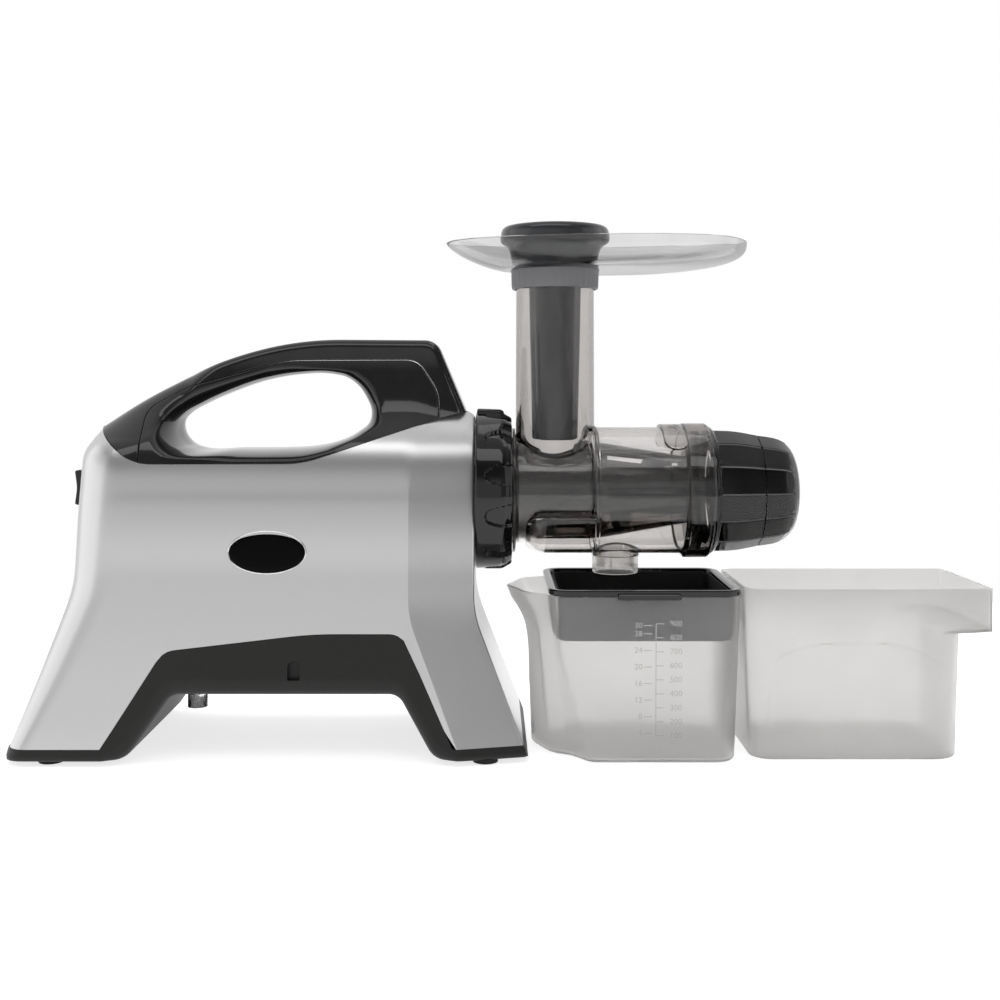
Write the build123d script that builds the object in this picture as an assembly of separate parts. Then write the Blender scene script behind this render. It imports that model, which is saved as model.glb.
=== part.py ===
"""Horizontal cold press juicer with its juice jug and pulp bin, in millimetres.

Frame: +X runs from the motor end to the pressure dial, -Y is the working side and +Z is up. The
origin is on the table under the middle of the whole set. Stations along X are written as distances
from the housing's front face, where the drum locks on, and placed by at().
"""

import os
from math import acos, atan2, cos, hypot, pi, radians, sin, sqrt, tan

from build123d import *

os.makedirs("parts", exist_ok=True)

# ---------------------------------------------------------------- driving dimensions
AXIS_Z = 187.5  # drum, auger and output shaft
SEAT_GAP = 0.3  # between curved faces that seat on each other
RUN_GAP = 0.05  # shaft in its bush, radial
SLIDE_GAP = 0.6  # between bodies that slide past each other

# Housing, base and handle
REAR_LENGTH = 332.5  # from the front face to the rear foot's tip
FOOT_REACH = 38.5  # from the front face to the front foot's tip
FOOT_HALF_WIDTH = 82.5
WAIST_HALF_WIDTH = 67.0
WAIST_Z = 130.0
SHOULDER_HALF_WIDTH = 62.5
GRIP_HALF_WIDTH = 17.0
HANDLE_TOP_Z = 302.0
SHELL_WALL = 3.0
EDGE_ROUND = 8.0
FOOT_PLATE_Z = 9.0  # parting between the silver legs and the base's foot plates
PAD_HEIGHT = 3.0
PAD_RADIUS = 9.0
ARCH_TOP_Z = 47.0  # underside of the arch
BASE_TOP_Z = 91.0
HOLE_LOW_Z = 221.0  # finger hole in the handle
HOLE_HIGH_Z = 275.5
FACET_LENGTH = 47.0  # slanted facet beside the front face
FACET_DEPTH = 11.0
BADGE_LENGTH = 56.7
BADGE_HEIGHT = 31.3
BADGE_STATION = -147.5
BADGE_Z = 148.0
BADGE_RIM = 1.2
BADGE_STAND = 0.75  # stands off the curved side at its middle

# Motor and gears
MOTOR_Z = 112.0
STATOR_RADIUS = 40.0
STATOR_LENGTH = 50.0
BELL_LENGTH = 14.0
MOTOR_FRONT = -98.0  # station of the motor's front face
ROTOR_RADIUS = 22.0
MOTOR_SHAFT_RADIUS = 4.0
FAN_RADIUS = 34.0
FAN_WIDTH = 12.0
FAN_BLADES = 7
GEAR_SHAFT_RADIUS = 4.0
OUTPUT_SHAFT_RADIUS = 9.0
FIRST_STAGE = dict(module=1.0, pinion_teeth=12, wheel_teeth=44, width=9.0)
SECOND_STAGE = dict(module=1.25, pinion_teeth=12, wheel_teeth=48, width=11.0)
THIRD_STAGE = dict(module=1.5, pinion_teeth=12, wheel_teeth=54, width=15.0)
BACKLASH = 0.35
IDLER_2_Y = 22.0  # how far the second idler stands off the middle plane
GEARCASE_WALL = 3.0
GEARCASE_FRONT = -26.0

# Drum, chute, auger and cap
DRUM_INNER = 37.6
DRUM_WALL = 2.2
SCREEN_CHAMBER_RADIUS = 48.0
SCREEN_CHAMBER_WALL = 2.4
FLANGE_RADIUS = 51.0
DRUM_STEP = 87.0  # station where the narrow feed part meets the screen chamber
DRUM_END = 176.0
CHUTE_STATION = 61.0
CHUTE_RADIUS = 30.0
CHUTE_BORE = 26.4
CHANNEL_START = 37.5
CHANNEL_TOP_Z = 171.0  # ledge of the juice channel on both sides of the feed part
CHANNEL_ROUND = 14.0
CLIP_RADIUS = 59.5
CLIP_LENGTH = 27.7
RECESS_COUNT = 12  # finger recesses round the clip
RECESS_HALF = 7.0
RECESS_DEPTH = 3.2
RECESS_FIRST = 15.0  # degrees from the top
TAB_HALF = 12.0
TAB_LENGTH = 22.0
TAB_RADIUS = 62.8
SOCKET_RADIUS = 50.0
SOCKET_BORE = 43.4
LUG_RADIUS = 46.8
LUG_COUNT = 4
SCREEN_WALL = 1.2
SCREEN_END = 160.0  # small end of the screen's cone
SCREEN_END_RADIUS = 26.0
SLOT_HALF = 4.0  # half width of the screen's juice slots
AUGER_GAP = 0.7  # auger in its screen, radial
AUGER_START = 26.0
AUGER_CORE_START = 14.0
AUGER_CORE_END = 19.0
FLIGHT_TURNS = 2.25
FLIGHT_WIDTH = 6.0
HEX_ACROSS_FLATS = 12.0
SPOUT_STATION = 107.0
SPOUT_RADIUS = 17.4
SPOUT_WALL = 2.6
SPOUT_LOW_Z = 125.0
CAP_SEAM = 213.7  # between the fixed cap and the dial
CAP_TIP = 247.3
CAP_RADIUS = 46.8
CAP_WALL = 3.0
PULP_HOLE_RADIUS = 12.0
FLUTE_COUNT = 14

# Tray and pusher
TRAY_RIM_Z = 376.5
TRAY_DEPTH = 21.5
TRAY_FLOOR_Z = TRAY_RIM_Z - TRAY_DEPTH
TRAY_WALL = 2.2
CHUTE_TOP_Z = TRAY_FLOOR_Z - 1.0
COLLAR_RADIUS = 33.8
COLLAR_HEIGHT = 14.5
PUSHER_RADIUS = 20.2
PUSHER_LOW_Z = 226.0
PUSHER_CAP_RADIUS = 41.4
PUSHER_NECK_RADIUS = 32.6
PUSHER_CAP_HEIGHT = 12.0
PUSHER_CAP_ROUND = 5.0

# Jug, strainer and pulp bin
VESSEL_WALL = 2.0
JUG_RIM_Z = 118.5
JUG_MID_Y = -18.0
JUG_HALF_DEPTH = 58.0
JUG_RIGHT = 190.0
JUG_NOSE = 23.0
STRAINER_DEPTH = 33.0
STRAINER_FLANGE = 4.0
BIN_HEIGHT = 122.0
BIN_LEFT = 193.0
BIN_RIGHT = 350.5
BIN_LIP = 20.0
BIN_LIP_DROP = 32.0
BIN_MID_Y = -13.0
BIN_HALF_DEPTH = 52.0
BIN_ROUND = 14.0

FRONT_X = (REAR_LENGTH - BIN_RIGHT - BIN_LIP) / 2  # the housing's front face, with the whole set centred

parts = {}


def at(station):
    """X of a station measured from the housing's front face."""
    return FRONT_X + station


def save(name, *solids):
    """Keep one node: one solid or a group of separate ones."""
    found = [s for item in solids for s in (item.solids() if hasattr(item, "solids") else [item])]
    parts[name] = found[0] if len(found) == 1 else Compound(children=found)


def side_prism(points, corner_radii, half=120.0):
    """Outline of (station, z) corners with their rounds, carried across Y."""
    corners = [(at(u), z) for u, z in points]
    outline = make_face(FilletPolyline(*corners, radius=corner_radii, close=True))
    return extrude(Plane.XZ * outline, amount=half, both=True)


def disc(radius, start, end, y=0.0, z=AXIS_Z):
    """Round bar along X between two stations."""
    plane = Plane(origin=(at(start), y, z), x_dir=(0, 1, 0), z_dir=(1, 0, 0))
    return extrude(plane * Circle(radius), amount=end - start)


def tube(outer, inner, start, end, y=0.0, z=AXIS_Z):
    return disc(outer, start, end, y, z) - disc(inner, start - 1, end + 1, y, z)


def turned(profile, y=0.0, z=AXIS_Z):
    """Revolve (station, radius) corners about a line along X."""
    corners = [(at(u), z + r) for u, r in profile]
    face = Plane.XZ.offset(-y) * make_face(Polyline(*corners, close=True))
    return revolve(face, Axis((at(0), y, z), (1, 0, 0)))


def post(radius, low, high, x, y):
    """Round bar along Z."""
    return extrude(Plane((x, y, low)) * Circle(radius), amount=high - low)


def block(x0, x1, y0, y1, z0, z1):
    return Pos((x0 + x1) / 2, (y0 + y1) / 2, (z0 + z1) / 2) * Box(x1 - x0, y1 - y0, z1 - z0)


# ---------------------------------------------------------------- housing, base and handle
def section_half(inset=0.0):
    """Half widths of the body and their heights, foot to grip."""
    rows = [
        (FOOT_HALF_WIDTH, 0),
        (0.55 * FOOT_HALF_WIDTH + 0.45 * WAIST_HALF_WIDTH, 50),
        (WAIST_HALF_WIDTH, WAIST_Z),
        (SHOULDER_HALF_WIDTH, AXIS_Z),
        (SHOULDER_HALF_WIDTH - 10.5, 224),
        (GRIP_HALF_WIDTH + 14, 249),
        (GRIP_HALF_WIDTH + 4.5, 275),
        (GRIP_HALF_WIDTH, HANDLE_TOP_Z + 5),
    ]
    return [(y - inset, z) for y, z in rows]


def section_prism(inset=0.0):
    """The body's cross-section carried along X: flared legs, a domed shoulder and the grip."""
    right = section_half(inset)
    left = [(-y, z) for y, z in right]
    outline = make_face([Line(left[0], right[0]), Spline(*right), Line(right[-1], left[-1]), Spline(*left)])
    return extrude(Plane.YZ.offset(at(-500)) * outline, amount=1000)


LEG_SLOPE_Z = 142.0  # where the rear leg turns upright
KNEE_Z = 103.0  # where the front leg starts to flare
REAR_FACE = -286.0
HANDLE_REAR = (-271.0, 239.5)
HANDLE_FRONT = (0.0, 248.0)

body_outline = [
    (-REAR_LENGTH, PAD_HEIGHT),
    (REAR_FACE, LEG_SLOPE_Z),
    (REAR_FACE, 212),
    HANDLE_REAR,
    (-236, 265),
    (-125, HANDLE_TOP_Z),
    (-29, HANDLE_TOP_Z - 0.5),
    HANDLE_FRONT,
    (0, KNEE_Z),
    (FOOT_REACH, PAD_HEIGHT),
]
body_rounds = [0, 80, 25, 20, 80, 250, 14, 8, 70, 0]

# the parting line between the silver housing and the black handle, rear to front
parting = [HANDLE_REAR, (-243, 208.5), (-122, 210.5), (-68, 232), HANDLE_FRONT]
parting_rounds = [0, 22, 60, 60, 0]

# the base's upper edge over the arch, rear to front
arch_edge = [(-264, FOOT_PLATE_Z), (-220, 79), (-115, BASE_TOP_Z), (-51, BASE_TOP_Z), (-15, FOOT_PLATE_Z)]
arch_rounds = [0, 16, 300, 14, 0]

# the arch's opening, rear to front
tunnel = [(-246.3, PAD_HEIGHT), (-215.5, ARCH_TOP_Z), (-54, ARCH_TOP_Z), (-28.6, PAD_HEIGHT)]
tunnel_rounds = [8, 12, 12, 8]

hole_outline = [
    (-221, HOLE_LOW_Z),
    (-223.5, 243),
    (-158, HOLE_HIGH_Z),
    (-98, HOLE_HIGH_Z),
    (-73, 243),
    (-118, HOLE_LOW_Z),
]
hole_rounds = [12, 14, 60, 22, 16, 60]

# the seam of the handle's top cover, which follows the outer edge about 15 mm inside it
seam = [(-238, 190), (-238, 241), (-190, 267.5), (-121, 286.5), (-45, 286.5), (-26.5, 262), (-26.5, 225)]
seam_rounds = [0, 20, 60, 100, 16, 20, 0]


def facet_cutter(side):
    """Wedge that takes the slanted facet off one front corner, lofted up the leg."""
    levels = []
    for half, z in section_half()[:6]:
        end = FOOT_REACH * max(0.0, KNEE_Z - z) / KNEE_Z
        a = (at(end - FACET_LENGTH), side * half, z)
        b = (at(end), side * (half - FACET_DEPTH), z)
        c = (at(end + 9), side * (half - FACET_DEPTH), z)
        d = (at(end + 9), side * (half + 6), z)
        e = (at(end - FACET_LENGTH), side * (half + 6), z)
        levels.append(make_face(Polyline(a, b, c, d, e, close=True)))
    return loft(levels, ruled=True)


def body_envelope():
    envelope = side_prism(body_outline, body_rounds) & section_prism()
    envelope = envelope.solids()[0]
    edges = [e for e in envelope.edges() if abs(e.center().Y) > 10 and PAD_HEIGHT < e.center().Z - 0.5]
    envelope = fillet([e for e in edges if e.center().X < at(-1)], EDGE_ROUND)
    for side in (-1, 1):
        envelope = envelope - facet_cutter(side)
    return envelope.solids()[0]


def housing_parts():
    envelope = body_envelope()
    above = side_prism(parting + [(0, 400), (-400, 400), (-400, HANDLE_REAR[1])], parting_rounds + [0, 0, 0])
    inner_section = section_prism(SHELL_WALL)
    finger_hole = side_prism(hole_outline, hole_rounds)
    low_strip = [(60, FOOT_PLATE_Z), (60, -20), (-400, -20), (-400, FOOT_PLATE_Z)]
    below = side_prism(arch_edge + low_strip, arch_rounds + [0, 0, 0, 0])
    opening = side_prism(tunnel + [(-28.6, -20), (-246.3, -20)], tunnel_rounds + [0, 0])

    cavity_outline = [
        (-REAR_LENGTH + SHELL_WALL + 2, FOOT_PLATE_Z - 6),
        (REAR_FACE + SHELL_WALL, LEG_SLOPE_Z),
        (REAR_FACE + SHELL_WALL, 212),
        (HANDLE_REAR[0] + 3, 262),
        (-SHELL_WALL, 262),
        (-SHELL_WALL, KNEE_Z),
        (FOOT_REACH - SHELL_WALL - 2, FOOT_PLATE_Z - 6),
    ]
    cavity = side_prism(cavity_outline, [0, 80, 20, 0, 0, 70, 0]) & inner_section
    for side in (-1, 1):
        cavity = cavity - facet_cutter(side).moved(Location((-SHELL_WALL, -side * SHELL_WALL, 0)))
    socket_hole = disc(SOCKET_BORE - 6, -SHELL_WALL - 1, 1)
    switch_hole = block(at(REAR_FACE) - 20, at(REAR_FACE) + 20, -11.5, 11.5, 173.5, 206.5)
    housing = envelope - above - below - cavity - socket_hole - switch_hole
    save("housing_shell", housing.solids().sort_by(SortBy.VOLUME)[-1])

    seam_shape = side_prism(seam, seam_rounds)
    handle = (envelope & above) - finger_hole
    # both posts of the handle are hollow from below
    rear_post = [(-258, 200), (-258, 238), (-243, 248), (-231, 240), (-231, 200)]
    front_post = [(-84, 200), (-84, 233), (-70, 241), (-46, 264), (-14, 264), (-4, 244), (-4, 200)]
    posts = side_prism(rear_post, [0, 6, 4, 4, 0]) + side_prism(front_post, [0, 6, 6, 10, 10, 4, 0])
    handle = handle - (posts & inner_section)
    save("handle_frame", (handle & seam_shape).solids().sort_by(SortBy.VOLUME)[-1])
    cover = handle - seam_shape
    save("handle_top_cover", cover.solids().sort_by(SortBy.VOLUME)[-1])

    pocket_floor = ARCH_TOP_Z + SHELL_WALL
    pocket_outline = [(-203, pocket_floor), (-61, pocket_floor), (-50.5, 72), (-53, 100), (-214, 100)]
    pocket = side_prism(pocket_outline, [6, 6, 10, 0, 0]) & section_prism(SHELL_WALL + 3)
    base = (envelope & below) - opening - pocket
    save("base_cover", base.solids().sort_by(SortBy.VOLUME)[-1])


def small_body_parts():
    rows = [(-300.5, 66), (8.0, 66)]
    pads = [post(PAD_RADIUS, 0, PAD_HEIGHT, at(u), s * y) for u, y in rows for s in (-1, 1)]
    save("foot_pads", *pads)

    # the badge is an oval that leans with the near side; its place is bare
    lean = atan2(WAIST_HALF_WIDTH - SHOULDER_HALF_WIDTH, AXIS_Z - WAIST_Z)
    seat_y = -(WAIST_HALF_WIDTH - (BADGE_Z - WAIST_Z) * tan(lean) + BADGE_STAND)
    outward = (0, -cos(lean), sin(lean))
    plane = Plane(origin=(at(BADGE_STATION), seat_y, BADGE_Z), x_dir=(1, 0, 0), z_dir=outward)
    inner = Ellipse(BADGE_LENGTH / 2 - BADGE_RIM, BADGE_HEIGHT / 2 - BADGE_RIM)
    plate = extrude(plane * inner, amount=1.4)
    rim = extrude(plane * Ellipse(BADGE_LENGTH / 2, BADGE_HEIGHT / 2), amount=1.8)
    rim -= extrude(plane * inner, amount=3)
    save("badge_plate", plate)
    save("badge_rim", rim)

    # three-position rocker switch on the rear face
    x_face = at(REAR_FACE)
    bezel = block(x_face - 2.0, x_face + 9, -11.2, 11.2, 173.8, 206.2)
    bezel += block(x_face - 2.0, x_face - 0.3, -13.5, 13.5, 171.0, 209.0)
    bezel -= block(x_face - 5, x_face + 7, -8.6, 8.6, 176.0, 204.0)
    save("switch_bezel", bezel)
    rocker_profile = [(REAR_FACE - 4.2, 203.0), (REAR_FACE - 1.6, 190), (REAR_FACE - 4.2, 177.0)]
    rocker_profile += [(REAR_FACE + 1, 177.4), (REAR_FACE + 4.5, 190), (REAR_FACE + 1, 202.6)]
    rocker = side_prism(rocker_profile, [1.0, 20, 1.0, 1, 2, 1], 8.2)
    pin_place = Plane((x_face + 1.5, 0, 190), z_dir=(0, 1, 0))
    rocker -= extrude(pin_place * Circle(1.2 + RUN_GAP), amount=20, both=True)
    save("switch_rocker", rocker)
    save("switch_pin", extrude(pin_place * Circle(1.2), amount=8.6, both=True))

    x, y = at(-195), 40
    gland = post(5.0, ARCH_TOP_Z - 8, ARCH_TOP_Z, x, y) - post(3.6, ARCH_TOP_Z - 9, ARCH_TOP_Z + 1, x, y)
    save("cord_gland", gland)
    x, y = at(-198), -60
    drain = post(7.0, ARCH_TOP_Z - 9.5, ARCH_TOP_Z, x, y) - post(5.6, ARCH_TOP_Z - 10.5, ARCH_TOP_Z - 1, x, y)
    save("drain_stub", drain)


# ---------------------------------------------------------------- gears and motor
def gear_face(module, teeth, phase=0.0, pressure=25.0):
    """Stub-tooth spur outline: each flank is a short chain of chords of the involute."""
    pitch_r = module * teeth / 2
    base_r = pitch_r * cos(radians(pressure))
    tip_r = pitch_r + 0.8 * module
    root_r = pitch_r - 1.1 * module

    def involute(r):
        a = acos(min(1.0, base_r / r))
        return tan(a) - a

    half_tooth = pi / (2 * teeth) - BACKLASH / (2 * pitch_r) + involute(pitch_r)
    start_r = max(root_r, base_r)
    flank = [start_r + (tip_r - start_r) * k / 2 for k in range(3)]
    points = []
    for tooth in range(teeth):
        middle = 2 * pi * tooth / teeth + phase
        left = [(r, middle - half_tooth + involute(r)) for r in flank]
        right = [(r, middle + half_tooth - involute(r)) for r in reversed(flank)]
        if root_r < base_r - 0.01:
            left = [(root_r, middle - half_tooth)] + left
            right = right + [(root_r, middle + half_tooth)]
        points += [(r * cos(t), r * sin(t)) for r, t in left + right]
    return make_face(Polyline(*points, close=True))


def gear(stage, kind, start, y, z, phase):
    """Gear blank with teeth along X; the outline's x is +Y and its y is +Z."""
    plane = Plane(origin=(at(start), y, z), x_dir=(0, 1, 0), z_dir=(1, 0, 0))
    return extrude(plane * gear_face(stage["module"], stage[kind + "_teeth"], phase), amount=stage["width"])


def centre_distance(stage):
    return stage["module"] * (stage["pinion_teeth"] + stage["wheel_teeth"]) / 2


def mesh_phase(stage, wheel, pinion):
    """Phases (radians) that put a tooth of the wheel in a gap of the pinion, from their two centres."""
    direction = atan2(pinion[1] - wheel[1], pinion[0] - wheel[0])
    return direction, direction + pi + pi / stage["pinion_teeth"]


def first_idler_place():
    """Where circles of the first two centre distances, about the motor and the second idler, meet."""
    near, far = centre_distance(FIRST_STAGE), centre_distance(SECOND_STAGE)
    dy, dz = IDLER_2[0], IDLER_2[1] - MOTOR_Z
    apart = hypot(dy, dz)
    along = (near**2 - far**2 + apart**2) / (2 * apart)
    across = sqrt(near**2 - along**2)
    return (along * dy + across * dz) / apart, MOTOR_Z + (along * dz - across * dy) / apart


IDLER_2 = (IDLER_2_Y, AXIS_Z - sqrt(centre_distance(THIRD_STAGE) ** 2 - IDLER_2_Y**2))
IDLER_1 = first_idler_place()

STAGE_GAP = 3.0
THIRD_START = GEARCASE_FRONT - GEARCASE_WALL - 2 - THIRD_STAGE["width"]
SECOND_START = THIRD_START - STAGE_GAP - SECOND_STAGE["width"]
FIRST_START = SECOND_START - STAGE_GAP - FIRST_STAGE["width"]
GEARCASE_REAR = FIRST_START - 2.0 - GEARCASE_WALL


def gear_parts():
    axis = (0.0, AXIS_Z)
    motor = (0.0, MOTOR_Z)
    out_phase, pin3_phase = mesh_phase(THIRD_STAGE, axis, IDLER_2)
    wheel2_phase, pin2_phase = mesh_phase(SECOND_STAGE, IDLER_2, IDLER_1)
    wheel1_phase, pin1_phase = mesh_phase(FIRST_STAGE, IDLER_1, motor)

    output = gear(THIRD_STAGE, "wheel", THIRD_START, *axis, out_phase)
    output += disc(16, THIRD_START - 2, THIRD_START + THIRD_STAGE["width"] + 1)
    for k in range(6):
        angle = 2 * pi * k / 6
        output -= disc(7, THIRD_START - 1, 0, 27 * cos(angle), AXIS_Z + 27 * sin(angle))
    output -= disc(OUTPUT_SHAFT_RADIUS, THIRD_START - 5, 0)
    save("output_gear", output)

    shaft = disc(OUTPUT_SHAFT_RADIUS, GEARCASE_REAR + 0.5, 14)
    shaft += disc(13.0, -12, 14)
    hexagon = Plane(origin=(at(-6), 0, AXIS_Z), x_dir=(0, 1, 0), z_dir=(1, 0, 0)) * RegularPolygon(
        HEX_ACROSS_FLATS / 2 + 0.25, 6, major_radius=False
    )
    shaft -= extrude(hexagon, amount=40)
    save("output_shaft", shaft)

    wheel2 = gear(SECOND_STAGE, "wheel", SECOND_START, *IDLER_2, wheel2_phase)
    pinion3 = gear(THIRD_STAGE, "pinion", THIRD_START - 1, *IDLER_2, pin3_phase)
    link2 = disc(6.0, SECOND_START, THIRD_START, *IDLER_2)
    bore2 = disc(GEAR_SHAFT_RADIUS + RUN_GAP, -200, 0, *IDLER_2)
    save("second_idler_gear", wheel2 + link2 + pinion3 - bore2)

    wheel1 = gear(FIRST_STAGE, "wheel", FIRST_START, *IDLER_1, wheel1_phase)
    pinion2 = gear(SECOND_STAGE, "pinion", SECOND_START - 1, *IDLER_1, pin2_phase)
    link1 = disc(5.0, FIRST_START, SECOND_START, *IDLER_1)
    bore1 = disc(GEAR_SHAFT_RADIUS + RUN_GAP, -200, 0, *IDLER_1)
    save("first_idler_gear", wheel1 + link1 + pinion2 - bore1)

    ends = (GEARCASE_REAR + 1, GEARCASE_FRONT - 1)
    save("idler_pins", *[disc(GEAR_SHAFT_RADIUS, *ends, *place) for place in (IDLER_1, IDLER_2)])

    pinion1 = gear(FIRST_STAGE, "pinion", FIRST_START - 1, *motor, pin1_phase)
    save("motor_pinion", pinion1 - disc(MOTOR_SHAFT_RADIUS, -200, 0, *motor))

    # gear case: a box that wraps the train, split at its rear into case and cover
    step = SECOND_START - 1.0  # in front of it the case is shallower, to clear the base's front leg
    narrow = THIRD_START - 1.5  # and from here narrower, to clear the housing's facets

    def case_solid(grow, start, end):
        upper = disc(45.5 + grow, start, end)
        lower_end = min(end, step + grow)
        lower = block(at(start), at(lower_end), -30 - grow, 54.5 + grow, 80 - grow, MOTOR_Z + 40)
        middle_end = min(end, narrow + grow)
        middle = block(at(start), at(middle_end), -36 - grow, 54.5 + grow, 97 - grow, AXIS_Z)
        front = block(at(start), at(end), -36 - grow, 45.5 + grow, 97 - grow, AXIS_Z)
        return upper + lower + middle + front

    case = case_solid(GEARCASE_WALL, GEARCASE_REAR + GEARCASE_WALL, GEARCASE_FRONT)
    case -= case_solid(0, GEARCASE_REAR, GEARCASE_FRONT - GEARCASE_WALL)
    case += disc(20, GEARCASE_FRONT, -SHELL_WALL)
    case -= disc(15, -200, 10)
    cover = case_solid(GEARCASE_WALL, GEARCASE_REAR, GEARCASE_REAR + GEARCASE_WALL)
    for place in (IDLER_1, IDLER_2):
        case += disc(8, GEARCASE_FRONT - GEARCASE_WALL - 1.5, GEARCASE_FRONT, *place)
        case -= disc(GEAR_SHAFT_RADIUS, -200, GEARCASE_FRONT - 1, *place)
        cover -= disc(GEAR_SHAFT_RADIUS, GEARCASE_REAR + 1, 0, *place)
    cover -= disc(9, -200, 10, *motor)
    save("gearcase", case)
    cover -= disc(OUTPUT_SHAFT_RADIUS + 2, GEARCASE_REAR - 5, GEARCASE_REAR + 0.5)
    cover -= disc(OUTPUT_SHAFT_RADIUS + RUN_GAP, GEARCASE_REAR - 5, 0)
    save("gearcase_cover", cover)
    bush = tube(15, OUTPUT_SHAFT_RADIUS + RUN_GAP, GEARCASE_FRONT - GEARCASE_WALL, -13)
    save("output_bush", bush)
    seal = tube(15, OUTPUT_SHAFT_RADIUS + 4.4, -12.8, -SHELL_WALL) - disc(13.2, -12.8, 0)
    save("shaft_seal", seal)


def motor_parts():
    place = (0.0, MOTOR_Z)
    rear = MOTOR_FRONT - 2 * BELL_LENGTH - STATOR_LENGTH
    stator_start = rear + BELL_LENGTH
    stator_end = stator_start + STATOR_LENGTH
    stator = tube(STATOR_RADIUS, ROTOR_RADIUS + 0.6, stator_start, stator_end, *place)
    for k in range(8):
        angle = radians(22.5 + 45 * k)
        r = ROTOR_RADIUS + 6
        stator -= disc(3.2, -300, 0, r * cos(angle), MOTOR_Z + r * sin(angle))
    save("motor_stator", stator)
    coils = []
    for start, end in ((stator_start - 9, stator_start), (stator_end, stator_end + 9)):
        coils.append(tube(33, ROTOR_RADIUS + 2.5, start, end, *place))
    save("motor_windings", *coils)
    front_bell = disc(STATOR_RADIUS, stator_end, MOTOR_FRONT, *place)
    front_bell -= disc(36, -300, MOTOR_FRONT - 3, *place)
    front_bell -= disc(8.0, -300, 0, *place)
    rear_bell = disc(STATOR_RADIUS, rear, stator_start, *place) - disc(36, rear + 3, 0, *place)
    rear_bell -= disc(8.0, -300, 0, *place)
    for k in range(6):
        angle = radians(60 * k)
        rear_bell -= disc(5, -300, 0, 24 * cos(angle), MOTOR_Z + 24 * sin(angle))
    save("motor_front_bell", front_bell)
    save("motor_rear_bell", rear_bell)
    rotor = disc(ROTOR_RADIUS, stator_start, stator_end, *place)
    shaft = disc(MOTOR_SHAFT_RADIUS, rear - FAN_WIDTH - 6, FIRST_START + FIRST_STAGE["width"], *place)
    save("rotor_core", rotor - disc(MOTOR_SHAFT_RADIUS, -300, 0, *place))
    save("motor_shaft", shaft)
    bearings = [
        tube(8.0, MOTOR_SHAFT_RADIUS + RUN_GAP, start, start + 3, *place) for start in (rear, MOTOR_FRONT - 3)
    ]
    save("motor_bearings", *bearings)

    fan_end = rear - 3
    fan_start = fan_end - FAN_WIDTH
    hub = disc(10, fan_start, fan_end, *place) + disc(FAN_RADIUS, fan_end - 1.6, fan_end, *place)
    for k in range(FAN_BLADES):
        blade = block(at(fan_start), at(fan_end), -0.9, 0.9, MOTOR_Z + 8, MOTOR_Z + FAN_RADIUS - 1)
        hub += blade.rotate(Axis((0, 0, MOTOR_Z), (1, 0, 0)), 360 * k / FAN_BLADES)
    save("cooling_fan", hub - disc(MOTOR_SHAFT_RADIUS, -400, 0, *place))

    spacer_ring = tube(24, 10, MOTOR_FRONT, GEARCASE_REAR, *place)
    save("motor_adapter", spacer_ring)
    floor_z = ARCH_TOP_Z + SHELL_WALL
    saddle = block(at(stator_start + 8), at(stator_end - 8), -26, 26, floor_z, MOTOR_Z - 22)
    saddle -= disc(STATOR_RADIUS, -300, 0, *place)
    saddle -= block(at(-400), at(0), -14, 14, floor_z + 4, MOTOR_Z)
    save("motor_cradle", saddle)

    capacitor = disc(15, -196, -146, 0, 0)
    capacitor = capacitor.moved(Location((0, 0, MOTOR_Z + STATOR_RADIUS + 15.5)))
    save("run_capacitor", capacitor)
    clamp_z = MOTOR_Z + STATOR_RADIUS
    clamp = block(at(-178), at(-164), -19, 19, clamp_z - 6, clamp_z + 34)
    clamp -= disc(15, -300, 0, 0, clamp_z + 15.5)
    clamp -= disc(STATOR_RADIUS, -300, 0, *place)
    save("capacitor_clamp", clamp)


# ---------------------------------------------------------------- drum group
def ring_body():
    """Fixed bayonet socket on the housing's front face."""
    ring = tube(SOCKET_RADIUS, SOCKET_BORE, 0, 6)
    ring += tube(SOCKET_RADIUS, 21.0, 0, 2.0)
    save("drum_socket", ring)


def clip_parts():
    start, end = 0.6, CLIP_LENGTH
    lip_start = end - 4.5
    outline = [(start, CLIP_RADIUS - 1.5), (start + 1.5, CLIP_RADIUS), (end - 5, CLIP_RADIUS - 0.6)]
    outline += [(end - 1.2, CLIP_RADIUS - 4), (end, CLIP_RADIUS - 8)]
    outline += [(end, SOCKET_BORE - 2.2), (lip_start, SOCKET_BORE - 2.2)]
    outline += [(lip_start, SOCKET_RADIUS + SLIDE_GAP / 2), (start, SOCKET_RADIUS + SLIDE_GAP / 2)]
    clip = turned(outline)
    for k in range(LUG_COUNT):
        slot = block(at(lip_start - 1), at(end + 1), -8.5, 8.5, AXIS_Z + 30, AXIS_Z + LUG_RADIUS + SLIDE_GAP)
        clip -= slot.rotate(Axis((0, 0, AXIS_Z), (1, 0, 0)), 45 + 360 * k / LUG_COUNT)
    floor_z = AXIS_Z + CLIP_RADIUS - RECESS_DEPTH
    for k in range(RECESS_COUNT):
        recess = block(at(end - 14), at(end + 1), -RECESS_HALF, RECESS_HALF, floor_z, floor_z + 10)
        recess += Pos(at(end - 14), 0, floor_z + 5) * Cylinder(RECESS_HALF, 10)
        clip -= recess.rotate(Axis((0, 0, AXIS_Z), (1, 0, 0)), RECESS_FIRST + 360 * k / RECESS_COUNT)
    tab = block(at(1.5), at(TAB_LENGTH), -TAB_HALF, TAB_HALF, AXIS_Z + SOCKET_RADIUS + 3, AXIS_Z + TAB_RADIUS)
    tab = fillet(tab.edges().filter_by(Axis.X).group_by(Axis.Z)[-1], 2)
    clip += tab
    save("locking_clip", clip.solids().sort_by(SortBy.VOLUME)[-1])


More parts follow.
